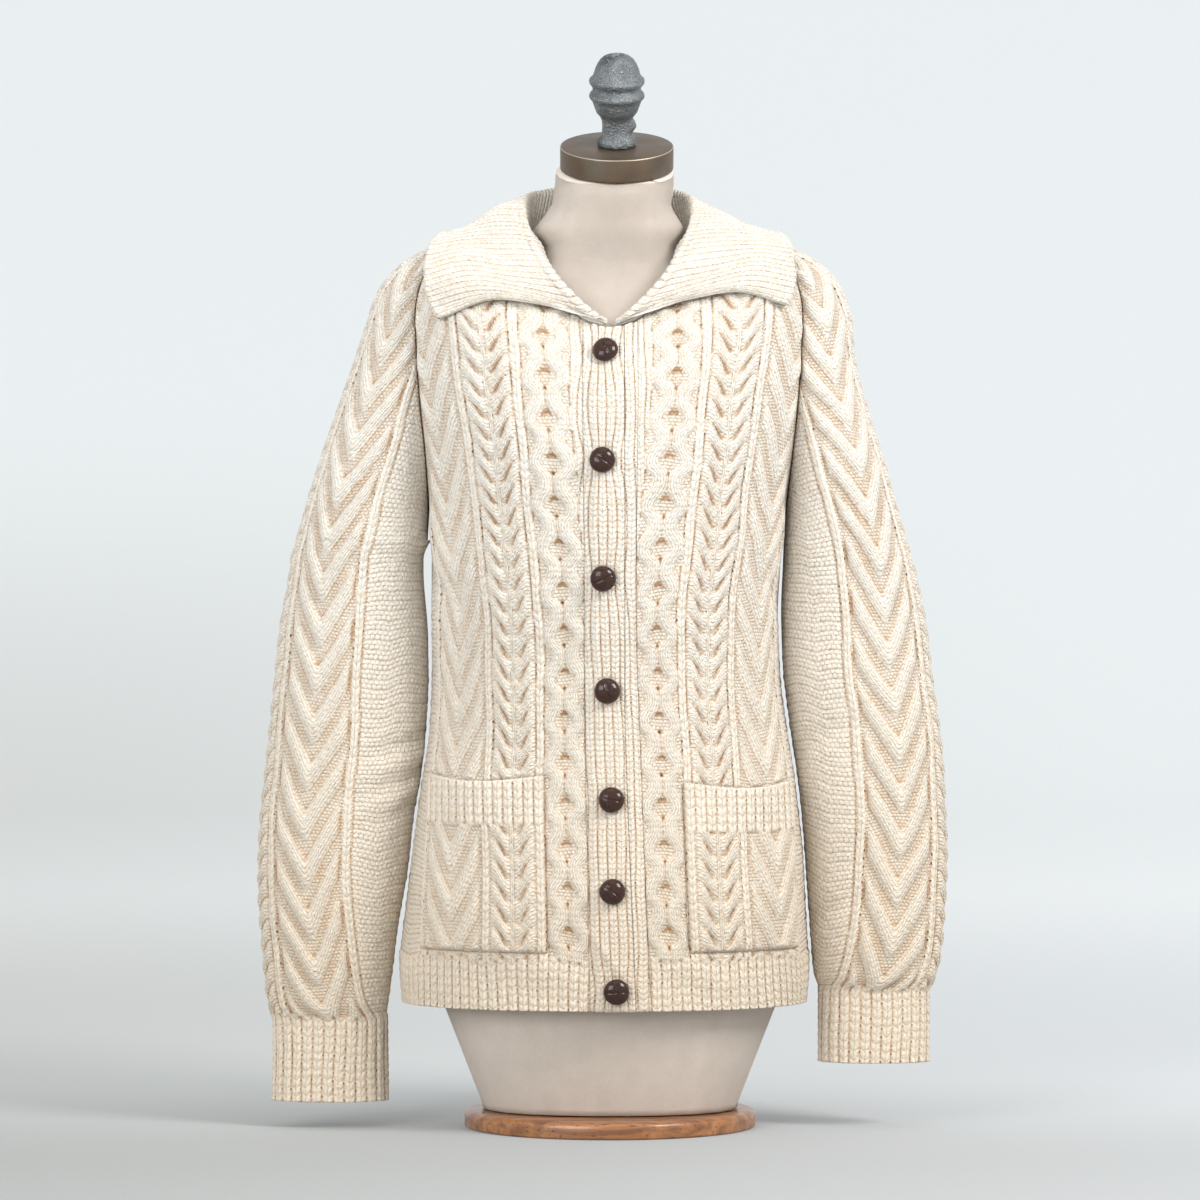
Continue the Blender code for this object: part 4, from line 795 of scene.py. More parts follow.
def front_knit(side):
    """The body's knit, with the closing's ribs beside the band."""

    def both(u, up, uc, upc):
        made = body_knit(u, up, uc, upc)
        level = np.clip(up + HEM_TOP, HEM, NECK)
        edge, strip, fan = [
            smooth(FRONT_NAMES, FRONT, name, level.reshape(-1)).reshape(level.shape)
            for name in ("edge_" + side, "strip", "fan")
        ]
        x = SIGN[side] * (edge + strip + (u - 22) * fan)
        h, cell, row, kind, hole_shade = closing_rib(x, level, up)
        made[1] = (np.where(uc < 21, h, -9.0), cell, row, kind, hole_shade)
        return made

    return both


def make_back(material):
    cloth = Cloth()
    level = fine_levels(HEM, NECK, 1.8, 1.4)
    made = {}
    for side in ("left", "right"):
        knit = uneven(with_rib(body_knit, *hem_first(side, "back")), 5)
        made[side] = add_half(cloth, side, "back", level, knit, BACK_STEP, 10.0)
    for side in ("left", "right"):
        rims(cloth, made[side], ("high", "bottom", "top"))
    for which in ("out", "in"):
        merge_points(cloth, made["left"][which]["low"][0], made["right"][which]["low"][0])
    return cloth.make("knit_back", material, "back")


def make_sleeve(side, material):
    cloth = Cloth()
    cuff, cuff_top = CUFF[side]
    level = np.unique(np.append(fine_levels(cuff, NECK, 1.7, 1.35), UNDERARM))
    half = float(rings_of(side, "arm", np.array([(cuff + cuff_top) / 2]))[1][0, -1])
    count = int(round(2 * half / RIB_PITCH))
    knit = uneven(with_rib(sleeve_knit, -half, 2 * half / count), 3 if side == "left" else 4)
    chains = add_half(cloth, side, "arm", level, knit, ARM_STEP, 10.0)
    for which in ("out", "in"):
        low, rows = chains[which]["low"]
        high = chains[which]["high"][0]
        shut = rows <= UNDERARM
        merge_points(cloth, low[shut], high[shut])
        for end in ("low", "high"):
            ids, keys = chains[which][end]
            ids = ids.copy()
            if end == "high":
                ids[shut] = low[shut]
            first = np.nonzero(shut)[0][-1]
            chains[which][end] = (ids[first:], keys[first:])
        ids, keys = chains[which]["bottom"]
        ids = ids.copy()
        ids[-1] = ids[0]
        chains[which]["bottom"] = (ids, keys)
    rims(cloth, chains, ("low", "high", "bottom", "top"))
    return cloth.make("knit_sleeve_" + side, material, "sleeve_" + side)


# ---------------------------------------------------------------- bands and pockets
BUTTONS = (  # x, z and turn in degrees; the turned one presses deeper into its band
    (-7.7, 672.8, 12),
    (-6.8, 581.1, 0),
    (-6.0, 480.9, 0),
    (-2.6, 384.0, 0),
    (0.9, 290.6, 0),
    (1.7, 212.6, 0),
    (5.1, 127.8, 0),
)
PINCH = (0.9, 0.9, 0.55, 0.25, 0.2, 0.25, 0.6)  # how far each button draws the ribs together
CLOSING_PITCH = 8.2


def middle_x(level):
    """The line through the buttons, that the ribs close in on."""
    zs = np.array([b[1] for b in BUTTONS[::-1]])
    return np.interp(level, zs, np.array([b[0] for b in BUTTONS[::-1]]))


def gape(level):
    """How far the bands stand open between two buttons: 0 at a button, up to 1 between the first two."""
    open_at = np.zeros_like(level)
    for (_, top, _), (_, low, _), most in zip(BUTTONS, BUTTONS[1:], (1.0, 0.6, 0.3, 0.2, 0.2, 0.5)):
        open_at = open_at + most * np.sin(math.pi * np.clip((level - low) / (top - low), 0, 1)) ** 2
    return open_at


def closing_rib(x, level, up, high=2.4):
    """The ribs of the bands and of the fronts' plain strips, by the distance from the body's middle line."""
    r = x - middle_x(level)
    drawn = sum(pull * np.exp(-(((level - z) / 24) ** 2)) for (_, z, _), pull in zip(BUTTONS, PINCH))
    at = r * (1 + 0.8 * drawn * np.exp(-((r / 17) ** 2))) / CLOSING_PITCH + 0.5
    f = (at % 1) * 2 - 1
    y = up / 4.8
    wave = 1 - 0.42 * np.abs(((y - 0.55 * np.abs(f)) % 1) * 2 - 1) ** 3
    return (high * dome(f, 1.0, 0.62) * wave - 0.1, at, y, 0, 0.6)


def across_front(level, x):
    """Points and normals of the plain front for signed distances x from its middle line, in rows of levels."""
    p, n = np.zeros(x.shape + (3,)), np.zeros(x.shape + (3,))
    for side in ("left", "right"):
        mine = x >= 0 if side == "left" else x < 0
        a, b = surface(side, "front", level, np.abs(x))
        p[mine], n[mine] = a[mine], b[mine]
    fade = np.clip(np.abs(x) / 4, 0, 1)
    n[..., 0] *= fade
    return p, n / np.linalg.norm(n, axis=2)[..., None]


def plain_grid(cloth, outer, inner, painted_shade_and_wear, u, up, knit, coarse):
    """A rectangular piece: a fine outer grid and a coarse inner one, closed along its four edges."""
    rows, columns = u.shape
    low, high = np.zeros(rows, int), np.full(rows, columns - 1)
    start = put_grid(cloth, outer, painted_shade_and_wear, u, up, low, high, knit)
    ri = np.unique(np.append(np.arange(0, rows, coarse), rows - 1))
    ci = np.unique(np.append(np.arange(0, columns, coarse), columns - 1))
    begin = cloth.add(inner[np.ix_(ri, ci)])
    quads, _, _ = grid_faces(len(ri), len(ci), np.zeros(len(ri), int), np.full(len(ri), len(ci) - 1), begin)
    cloth.corners(quads)
    r, c = np.arange(rows), np.arange(columns)
    for j, k in ((0, 0), (columns - 1, len(ci) - 1)):
        cloth.strip(list(start + r * columns + j), list(begin + np.arange(len(ri)) * len(ci) + k), list(r), list(ri))
    for i, k in ((0, 0), (rows - 1, len(ri) - 1)):
        cloth.strip(list(start + i * columns + c), list(begin + k * len(ci) + np.arange(len(ci))), list(c), list(ci))


def round_edge(t, reach, fall):
    """How far a knitted edge turns in, by the distance t from it."""
    return -fall * (1 - np.clip(t / reach, 0, 1)) ** 2


def make_band(side, material):
    cloth = Cloth()
    level = np.arange(HEM, NECK - 1, 1.25)
    level = np.append(level, NECK - 1)
    if side == "right":
        first, last = 0.1 - front("edge_right", level), front("over_free", level)
    else:
        first, last = front("under_free", level), front("edge_left", level) - 0.1
    x = first + (last - first) * np.linspace(0, 1, int(34 / 1.2))[None, :]
    if side == "left":
        free = front("over_free", level)
        under = first + (free + 0.2 - first) * np.linspace(0, 1, int(19 / 1.2))[None, :]
        seen = free + 0.5 + (last - free - 0.5) * np.linspace(0, 1, int(14 / 1.1))[None, :]
        x = np.concatenate([under, seen], 1)
    p, n = across_front(level, x)
    rows = np.repeat(level[:, None], x.shape[1], 1)
    lift = np.zeros_like(x)
    if side == "right":
        lift = BAND_LIFT * ease(x, first, first + 11.5)
        bulge = 2.2 * gape(rows) * np.exp(-(((x - 2) / 13) ** 2))
        pull = (x + 4) * 0.82 + (rows - 160) * 0.57
        bulge = bulge + 2.0 * np.exp(-((pull / 3.6) ** 2)) * np.exp(-(((rows - 162) / 22) ** 2))
    else:
        bulge = 3.4 * (x > free + 0.3) * (1 - ease(x, free + 5, last + 1))

    def knit(u, up, uc, upc):
        return [closing_rib(u, up, up - HEM)]

    h = knit(x, rows, x, rows)[0][0]
    h = 0.8 * h + 0.2 * blur(h, 1)
    # painted shade in the grooves between the band's ribs
    painted_shade_and_wear = np.clip((blur(h, 2) - h) / 1.0, 0, 1)
    edge = np.minimum(x - first, last - x)
    turned = round_edge(edge, 1.4, 0.45)
    h = h * ease(edge, -1.6, 1.2) + turned
    if side == "left":
        h = np.where(x < free + 0.3, np.minimum(h, 0.0), h)
    if side == "right":
        for bx, bz, turn in BUTTONS:
            dent = np.exp(-((np.hypot(x - bx, rows - bz) / 12.5) ** 6))
            h = h * (1 - 0.75 * dent) - (1.6 if turn else 0.0) * dent
    ends = np.minimum(rows - HEM, NECK - 1 - rows)
    h = h + round_edge(ends, 2.4, 0.9)
    outer = p + (h + lift + bulge)[..., None] * n
    inner = p + (lift + bulge - WALL)[..., None] * n
    plain_grid(cloth, outer, inner, painted_shade_and_wear, x, rows, knit, 6)
    return cloth.make("knit_band_" + side, material, "band_" + side)


def pocket_base(side, level, u):
    """How far a pocket's back lies off its front: closed round its sewn edges, open at the mouth."""
    first, last = POCKET_U[side]
    across = np.clip((u - first) / (last - first), 0, 1)
    t = np.clip((level - POCKET[side][0] + 70) / 70, 0, 1)
    return 0.8 + 2.2 * np.sin(math.pi * across) * t * t * (3 - 2 * t)


def make_pocket(side, material):
    cloth = Cloth()
    top, bottom = POCKET[side]
    first, last = POCKET_U[side]
    share = np.linspace(0, 1, int((last - first) / 1.25))[None, :]
    v = np.linspace(0, 1, int((top - bottom) / 1.25))
    u = first + (last - first) * share + 0 * v[:, None]
    sag = pocket_sag(share)
    rows = bottom + v[:, None] * (top - sag - bottom)
    p, n = np.zeros(u.shape + (3,)), np.zeros(u.shape + (3,))
    dense = np.linspace(bottom, top, 160)
    columns = column_place(side, "front", dense, np.repeat(u[:1], len(dense), 0))
    column_p, column_n = surface(side, "front", dense, columns)
    for j in range(u.shape[1]):
        for c in range(3):
            p[:, j, c] = np.interp(rows[:, j], dense, column_p[:, j, c])
            n[:, j, c] = np.interp(rows[:, j], dense, column_n[:, j, c])
    up = rows - (HEM_TOP + 4)
    rib_at = top - POCKET_RIB - (HEM_TOP + 4)
    count = int(round((last - first) / RIB_PITCH))
    pitch = (last - first) / count

    def knit(a, b, ac, bc):
        ribs = bc > rib_at - 2 * np.sin(math.pi * (ac - first) / (last - first))
        made = [(np.where(ribs, -9.0, m[0]), *m[1:]) for m in body_knit(a, b, ac, bc)]
        at = (a - first) / pitch
        f = (at % 1) * 2 - 1
        y = b / RIB_TALL
        wave = 1 - 0.4 * np.abs(((y - 0.55 * np.abs(f)) % 1) * 2 - 1) ** 3
        made.append((np.where(ribs, 2.6 * dome(f, 1.0, 0.65) * wave, -9.0), at, y, 0, 0.6))
        return made

    h, painted_shade_and_wear = relief(u, up, knit, 2)
    side_edge = np.minimum(u - first, last - u)
    h = h * ease(side_edge, -0.8, 3.0) * ease(rows - bottom, -0.8, 3.0)
    welt = top - sag - rows
    h = np.where(welt < 3.4, 1.9 * dome(1.7 - welt, 1.75, 0.5), h)
    painted_shade_and_wear = np.where(welt < 3.4, 0.0, painted_shade_and_wear)
    # painted shade along the pocket's sewn sides and bottom
    painted_shade_and_wear = np.maximum(painted_shade_and_wear, 0.6 * (1 - ease(np.minimum(side_edge, rows - bottom), 0.0, 2.6)))
    turned = np.minimum(round_edge(side_edge, 3.6, 2.3), round_edge(rows - bottom, 6.0, 2.7))
    flat = rows.reshape(-1)
    seam = column_of(side, "front", flat, rings_of(side, "front", flat)[1][:, -1:] - GAP).reshape(rows.shape)
    off = drape(side, "front", rows, u) * ease(seam - u, 0.0, 14.0)
    base = pocket_base(side, rows, u)
    outer = p + (base + WALL + h + turned + off)[..., None] * n
    inner = p + (base + off)[..., None] * n
    plain_grid(cloth, outer, inner, painted_shade_and_wear, u, up, knit, 6)
    return cloth.make("knit_pocket_" + side, material, "pocket_" + side)


# ---------------------------------------------------------------- the collar
NECK_STEPS = {"front": 5, "arm": 4, "back": 4}
COLLAR_NAMES = "share roll_x roll_y roll_z edge_x edge_y edge_z arch".split()
COLLAR_RIGHT = (
    (0.00, 3, -104, 701, 146, -92, 704, 26),
    (0.10, 14, -102, 707, 155, -85, 716, 15),
    (0.20, 37, -97, 728, 158, -76, 729, 9),
    (0.30, 53, -85, 748, 158, -64, 744, 6),
    (0.40, 64, -62, 767, 156, -47, 758, 13),
    (0.48, 73, -36, 786, 151, -24, 771, 17),
    (0.56, 77, -6, 805, 143, 12, 778, 20),
    (0.63, 73, 20, 817, 134, 45, 768, 18),
    (0.71, 60, 42, 822, 115, 72, 752, 14),
    (0.80, 42, 57, 826, 82, 96, 738, 6),
    (0.90, 20, 63, 828, 40, 108, 731, 6),
    (1.00, 0, 65, 828, 0, 112, 729, 6),
)
COLLAR_LEFT = (
    (0.00, 6, -104, 701, 154, -88, 717, 24),
    (0.10, 15, -102, 707, 161, -80, 729, 12),
    (0.20, 32, -97, 723, 162, -71, 742, 7),
    (0.30, 50, -86, 744, 160, -60, 754, 6),
    (0.40, 62, -63, 766, 157, -44, 764, 13),
    (0.48, 70, -36, 784, 152, -22, 773, 13),
    (0.56, 74, -6, 802, 144, 12, 778, 13),
    (0.63, 71, 20, 815, 134, 45, 768, 14),
    (0.71, 60, 42, 822, 115, 72, 752, 14),
    (0.80, 42, 57, 826, 82, 96, 738, 6),
    (0.90, 20, 63, 828, 40, 108, 731, 6),
    (1.00, 0, 65, 828, 0, 112, 729, 6),
)
COLLAR_FALL = (0.06, 0.16, 0.4, 0.7, 1.0)
COLLAR_OFF = 9.0
COLLAR_PITCH = 6.9


def neck_places(side):
    """Points on the neck's edge from the closing to the back's middle, with the wall's normal and its rise."""
    level = np.array([NECK])
    totals = {face: rings_of(side, face, level)[1][0] for face in NECK_STEPS}
    edge = float(front("edge_" + side, level)[0, 0])
    places = [("front", 5.0)]
    places += [("front", at) for at in np.linspace(edge, totals["front"][-1] - GAP, NECK_STEPS["front"] + 1)]
    arm = np.linspace(totals["arm"][-1] - GAP, totals["arm"][0] + GAP, NECK_STEPS["arm"] + 1)[1:]
    places += [("arm", at) for at in arm]
    places += [("back", at) for at in np.linspace(totals["back"][-1] - GAP, 0, NECK_STEPS["back"] + 1)[1:]]
    found = [surface(side, face, level, np.array([[at]])) for face, at in places]
    points = [p[0, 0] for p, _ in found]
    normals = [n[0, 0] for _, n in found]
    rises = []
    for k, n in enumerate(normals):
        rise = np.cross(n, points[min(k + 1, len(points) - 1)] - points[max(k - 1, 0)])
        rises.append(rise / np.linalg.norm(rise) * (1 if rise[2] > 0 else -1))
    return list(zip(points, normals, rises))


def yoke_tree():
    """The plain outer face of the yoke, for laying the collar on it."""
    level = np.linspace(540, NECK, 40)
    points, faces = [], []
    for side in ("left", "right"):
        for face in ("front", "arm", "back"):
            rings = rings_of(side, face, level)
            share = np.linspace(0, 1, 30)[None, :]
            p = on_rings(rings, rings[1][:, :1] + share * (rings[1][:, -1:] - rings[1][:, :1]))
            start = len(points)
            points += [Vector(q) for q in p.reshape(-1, 3)]
            for i in range(39):
                for k in range(29):
                    a = start + i * 30 + k
                    faces.append((a, a + 1, a + 31, a + 30))
    return BVHTree.FromPolygons(points, faces)


def laid_on(tree, p, off, exactly):
    q, n, _, _ = tree.find_nearest(Vector(p))
    if (q - Vector((0, 0, 640))).dot(n) < 0:
        n = -n
    if (Vector(p) - q).dot(n) < off or exactly:
        return np.array(q + n * off)
    return np.array(p)


def collar_middle():
    """The collar's middle surface as the solid has it: columns from the right front to the left front."""
    tree = yoke_tree()
    middle = []
    for side, rows in (("right", COLLAR_RIGHT), ("left", COLLAR_LEFT)):
        columns = []
        places = neck_places(side)
        for k, (p, n, rise) in enumerate(places):
            share = np.array([k / (len(places) - 1)])
            value = {name: float(smooth(COLLAR_NAMES, rows, name, share)[0]) for name in COLLAR_NAMES[1:]}
            roll = np.array([SIGN[side] * value["roll_x"], value["roll_y"], value["roll_z"]])
            edge = np.array([SIGN[side] * value["edge_x"], value["edge_y"], value["edge_z"]])
            start = p - n * WALL / 2 + rise * 1.5
            start = start + max(1 - k / 3, 0.0) * np.array([0, -2.2, 2.6])
            column = [start, start + rise * min(0.35 * np.linalg.norm(roll - start), 7.0), roll]
            bend = (roll + edge) / 2 + np.array([0, 0, value["arch"]])
            for t in COLLAR_FALL:
                q = (1 - t) ** 2 * roll + 2 * t * (1 - t) * bend + t * t * edge
                off = COLLAR_OFF + 4.4 * max(1 - max(abs(q[0]) - 14, 0) / 14, 0.0)
                column.append(laid_on(tree, q, off * min(0.4 + 3 * t, 1.0), t > 0.5))
            columns.append(column)
        middle += columns if side == "right" else columns[-2::-1]
    return np.array(middle)


def refine(points, count):
    """A smooth curve through the rows of an array, count points in each of its stretches."""
    n = len(points)
    before = np.concatenate([[2 * points[0] - points[1]], points[:-1]])
    after = np.concatenate([points[1:], [2 * points[-1] - points[-2]]])
    slope = (after - before) / 2
    out = []
    for i in range(n - 1):
        for t in np.arange(count[i]) / count[i]:
            out.append(
                points[i] * (1 + 2 * t) * (1 - t) ** 2
                + slope[i] * t * (1 - t) ** 2
                + points[i + 1] * t * t * (3 - 2 * t)
                - slope[i + 1] * t * t * (1 - t)
            )
    return np.array([*out, points[-1]])


def make_collar(material):
    cloth = Cloth()
    grid = collar_middle()
    lengths = np.linalg.norm(np.diff(grid, axis=0), axis=2).max(1)
    grid = refine(grid, np.maximum(np.round(lengths / 1.6), 1).astype(int))
    down = np.transpose(grid, (1, 0, 2))
    lengths = np.linalg.norm(np.diff(down, axis=0), axis=2).mean(1)
    counts = np.maximum(np.round(lengths / 1.65), 2).astype(int)
    turn_at = int(counts[:2].sum())  # the row of the roll
    grid = np.transpose(refine(down, counts), (1, 0, 2))
    along, fall = np.gradient(grid, axis=0), np.gradient(grid, axis=1)
    normal = np.cross(along, fall)
    normal /= np.linalg.norm(normal, axis=2)[..., None]
    if normal[len(grid) // 4, -10, 2] < 0:
        normal = -normal
    arc = []
    for j in (turn_at + 4, -1):
        steps = np.linalg.norm(np.diff(grid[:, j], axis=0), axis=1)
        arc.append(np.concatenate([[0], np.cumsum(steps)]))
    arc = 0.35 * arc[0] + 0.65 * arc[1]
    u = np.repeat(((arc - arc[-1] / 2) / COLLAR_PITCH)[:, None], grid.shape[1], 1)
    steps = np.linalg.norm(np.diff(grid, axis=1), axis=2)
    up = np.concatenate([np.zeros((len(grid), 1)), np.cumsum(steps, 1)], 1)

    def knit(a, b, ac, bc):
        f = (a % 1) * 2 - 1
        y = b / 4.6
        wave = 1 - 0.3 * np.abs(((y - 0.5 * np.abs(f)) % 1) * 2 - 1) ** 2
        return [(1.9 * dome(f, 1.0, 0.6) * wave, a, y, 0, 0.4)]

    h = knit(u, up, u, up)[0][0]
    # painted shade in the grooves between the collar's ribs
    painted_shade_and_wear = np.clip((blur(h, 2) - h) / 1.7, 0, 1)
    to_edge = up[:, -1:] - up
    to_end = np.minimum(arc - arc[0], arc[-1] - arc)[:, None]
    scallop = 0.9 * np.abs(np.sin(math.pi * u)) ** 0.7
    edge = np.minimum(to_edge, to_end)
    turned = round_edge(edge, 2.2, 1.3)
    h = h * ease(edge, -0.5, 2.6) * ease(to_end, -3.0, 9.0) + 0.9 * np.exp(-(((edge - 2.4) / 1.7) ** 2)) + turned
    fall /= np.linalg.norm(fall, axis=2)[..., None]
    grid = grid + (scallop * np.clip(1 - to_edge / 4.0, 0, 1))[..., None] * fall
    outer = grid + (WALL / 2 + h)[..., None] * normal
    inner = grid - (WALL / 2 + 0.4 * turned)[..., None] * normal
    plain_grid(cloth, outer, inner, painted_shade_and_wear, u, up, knit, 3)
    return cloth.make("knit_collar", material, "collar")


# ---------------------------------------------------------------- buttons and the form
BUTTON_HIGH = 9.6
NECK_LEAN = math.radians(20)
CAP = (6.0, 2.0, 862.0)


def frame_along(axis):
    axis = np.array(axis, float) / np.linalg.norm(axis)
    across = np.cross(axis, [0, 0, 1.0])
    if np.linalg.norm(across) < 0.1:
        across = np.array([1.0, 0, 0])
    across = across / np.linalg.norm(across)
    return across, np.cross(axis, across), axis


def node_points(name):
    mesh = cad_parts[name].data
    points = np.zeros(len(mesh.vertices) * 3)
    mesh.vertices.foreach_get("co", points)
    return points.reshape(-1, 3) * 1000


def lathe(name, profile, centre, axis, sides, material, node, ripple=None, worn=()):
    """A turned piece: the profile's (radius, height) pairs round an axis, with an optional change of each point."""
    across, other, axis = frame_along(axis)
    profile = np.array(profile, float)
    around = np.linspace(0, 2 * math.pi, sides, endpoint=False)
    radius, high = profile[:, :1] + 0 * around, profile[:, 1:] + 0 * around
    if ripple is not None:
        radius, high = ripple(radius, high, around[None, :])
    ring = np.cos(around)[None, :, None] * across + np.sin(around)[None, :, None] * other
    p = np.array(centre) + radius[..., None] * ring + high[..., None] * axis
    cloth = Cloth()
    start = cloth.add(p, np.repeat([1.0 if i in worn else 0.0 for i in range(len(profile))], sides))
    rows = len(profile)
    k = np.arange(sides)
    m = (k + 1) % sides
    for i in range(rows - 1):
        a, b = start + i * sides, start + (i + 1) * sides
        cloth.corners(np.stack([a + k, a + m, b + m, b + k], 1))
    ends = cloth.add(np.array([p[0].mean(0), p[-1].mean(0)]))
    cloth.corners(np.stack([0 * k + ends, start + m, start + k], 1))
    last = start + (rows - 1) * sides
    cloth.corners(np.stack([0 * k + ends + 1, last + k, last + m], 1))
    return cloth.make(name, material, node)


def rounded(profile, radius, steps=4):
    """The profile with each inner corner rounded."""
    points = [np.array(p, float) for p in profile]
    out = [points[0]]
    for before, at, after in zip(points, points[1:], points[2:]):
        a, b = before - at, after - at
        cut = min(radius, 0.45 * np.linalg.norm(a), 0.45 * np.linalg.norm(b))
        a, b = at + a / np.linalg.norm(a) * cut, at + b / np.linalg.norm(b) * cut
        for t in np.linspace(0, 1, steps):
            out.append((1 - t) ** 2 * a + 2 * t * (1 - t) * at + t * t * b)
    return np.array([*out, points[-1]])


BUTTON_PROFILE = (
    (5.0, 0.3), (7.6, 0.0), (9.4, 0.6), (10.6, 1.5), (11.1, 2.6), (11.1, 3.7), (10.8, 4.9), (10.1, 6.1),
    (9.0, 7.1), (7.6, 8.0), (6.0, 8.7), (4.2, 9.2), (2.3, 9.5), (0.8, 9.6),
)
BUTTON_SEAMS = (0.5, 0.9, 1.9, 0.2, 1.2, 0.75, 1.5)  # how the folded leather's seams are turned


def make_button(k, material):
    x, z, turn = BUTTONS[k]
    n = across_front(np.array([z]), np.array([[float(x)]]))[1][0, 0]
    lean = math.radians(turn)
    axis = np.array([n[0] * math.cos(lean) + n[1] * math.sin(lean), n[1] * math.cos(lean), n[2]])
    axis /= np.linalg.norm(axis)
    node = f"button_{k + 1}"
    points = node_points(node)
    along = points @ axis
    top = points[along > along.max() - 0.02].mean(0)

    def ripple(radius, high, around):
        a = around - BUTTON_SEAMS[k]
        px, py = radius * np.cos(a), radius * np.sin(a)
        groove = np.exp(-(((px + 0.8 * np.sin(py / 4)) / 0.55) ** 2)) * np.clip((high - 5.5) / 3, 0, 1)
        puff = 0.35 * np.sin(2 * a + k) * radius / 11
        return radius * (1 + 0.012 * np.sin(3 * a + 2 * k)), high + (puff - 0.75 * groove) * np.clip(high / 6, 0, 1)

    foot = top - BUTTON_HIGH * axis
    return lathe("leather_" + node, BUTTON_PROFILE, foot, axis, 64, material, node, ripple)


TORSO_ROWS, TORSO_SIDES = 150, 120
NECK_IN = (3.8, 774, 30)  # how far the form's neck is drawn in under the collar, where and over what height


def make_torso(material):
    """The linen covered form: the solid's own shape with its corners smoothed away."""
    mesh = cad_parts["form_torso"].data
    points = [Vector(v.co) * 1000 for v in mesh.vertices]
    tree = BVHTree.FromPolygons(points, [tuple(p.vertices) for p in mesh.polygons])
    low, high = 16.4, 826.0
    z = np.linspace(low, high, TORSO_ROWS)
    around = np.linspace(0, 2 * math.pi, TORSO_SIDES, endpoint=False)
    radius = np.zeros((TORSO_ROWS, TORSO_SIDES))
    centre = 5.7 * np.clip((z - 790) / 48.7, 0, 1) ** 2
    for i in range(TORSO_ROWS):
        for k in range(TORSO_SIDES):
            ray = Vector((math.cos(around[k]), math.sin(around[k]), 0))
            reach = tree.ray_cast(Vector((centre[i], 0, z[i])), ray)[3] or 50.0
            radius[i, k] = reach - 0.3 - NECK_IN[0] * math.exp(-(((z[i] - NECK_IN[1]) / NECK_IN[2]) ** 2))
    around_it = sum(np.roll(radius, shift, 1) for shift in range(-6, 7)) / 13
    radius = np.minimum(radius, blur(around_it, 1) + 0.1)
    c, s = np.cos(around), np.sin(around)
    p = np.stack([centre[:, None] + radius * c, radius * s, z[:, None] + 0 * radius], 2)
    lip = []
    for share in (0.4, 0.8, 1.0):
        tilt = math.tan(NECK_LEAN) * p[-1, :, 1] * share ** 1.2
        ring = p[-1].copy()
        ring[:, 0] += share * 0.5
        ring[:, 2] += share * 12.4 + tilt
        ring[:, :2] *= 1 - 0.006 * share
        lip.append(ring)
    p = np.concatenate([p, np.array(lip)])
    p[..., 2] = np.minimum(p[..., 2], 838.3 + math.tan(NECK_LEAN) * p[..., 1])  # the cap's underside
    cloth = Cloth()
    start = cloth.add(p)
    k = np.arange(TORSO_SIDES)
    m = (k + 1) % TORSO_SIDES
    length = np.concatenate([[0], np.cumsum(np.linalg.norm(np.diff(p[:, 0], axis=0), axis=1))])
    for i in range(len(p) - 1):
        a, b = start + i * TORSO_SIDES, start + (i + 1) * TORSO_SIDES
        quads = np.stack([a + k, a + m, b + m, b + k], 1)
        cells = np.stack([
            np.stack([k * 6.0, 0 * k + length[i]], 1),
            np.stack([(k + 1) * 6.0, 0 * k + length[i]], 1),
            np.stack([(k + 1) * 6.0, 0 * k + length[i + 1]], 1),
            np.stack([k * 6.0, 0 * k + length[i + 1]], 1),
        ], 1)
        cloth.corners(quads, cells, np.zeros((len(quads), 2)))
    ends = cloth.add(np.array([p[0].mean(0), p[-1].mean(0)]))
    cloth.corners(np.stack([0 * k + ends, start + m, start + k], 1))
    last = start + (len(p) - 1) * TORSO_SIDES
    cloth.corners(np.stack([0 * k + ends + 1, last + k, last + m], 1))
    return cloth.make("linen_form", material, "form_torso")


CAP_PROFILE = ((40, -21), (48.8, -21), (49.8, -20.2), (50, -19), (50, -1.4), (49.7, -0.4), (48.9, 0), (30, 0.2))
FINIAL_PROFILE = (
    (15, 0.4), (16.6, 0.6), (17.2, 2.2), (17.1, 4.6), (16.2, 7), (14.2, 9.4), (13.1, 12.5), (12.9, 18),
    (13.2, 23), (14.6, 26.4), (17.8, 30.4), (19.8, 35), (20.9, 39), (22.2, 41.6), (24, 43.6), (24.5, 45.4),
    (23.6, 47.6), (21.8, 49.6), (21.2, 51.8), (21.9, 54), (23.8, 56.2), (24.6, 58.4), (23.9, 60.6), (21.6, 62.6),
    (20.4, 65), (19.3, 69), (17.3, 74), (14.4, 78), (11, 80.8), (8, 82), (6.2, 81.6), (5.5, 79.6),
    (5.3, 72), (4.6, 64),
)
BASE_PROFILE = ((122, 0.1), (127, 0.1), (128, 1.2), (128, 9.5), (127.4, 12), (125.6, 14), (122.6, 15), (116, 15.1))


def rough_casting(radius, high, around):
    """The finial's mould seam in front, a lump of flash beside its stem and an uneven skin."""
    seam = 0.8 * np.exp(-(((around - 1.45) / 0.06) ** 2)) * (0.6 + 0.4 * np.sin(high * 0.9))
    flash = 4.2 * np.exp(-(((around - 3.05) / 0.34) ** 2)) * np.exp(-(((high - 18.5) / 5.0) ** 4))
    skin = 0.12 * np.sin(7 * around + high / 3) * np.sin(5 * around - high / 2.1) + 0.1 * np.sin(13 * around + high)
    outside = np.clip((radius - 8) / 3, 0, 1)
    return radius + outside * (seam + flash + skin), high


# ---------------------------------------------------------------- materials
def linear(r, g, b):
    shares = (r / 255, g / 255, b / 255)
    return tuple(c / 12.92 if c <= 0.04045 else ((c + 0.055) / 1.055) ** 2.4 for c in shares) + (1,)


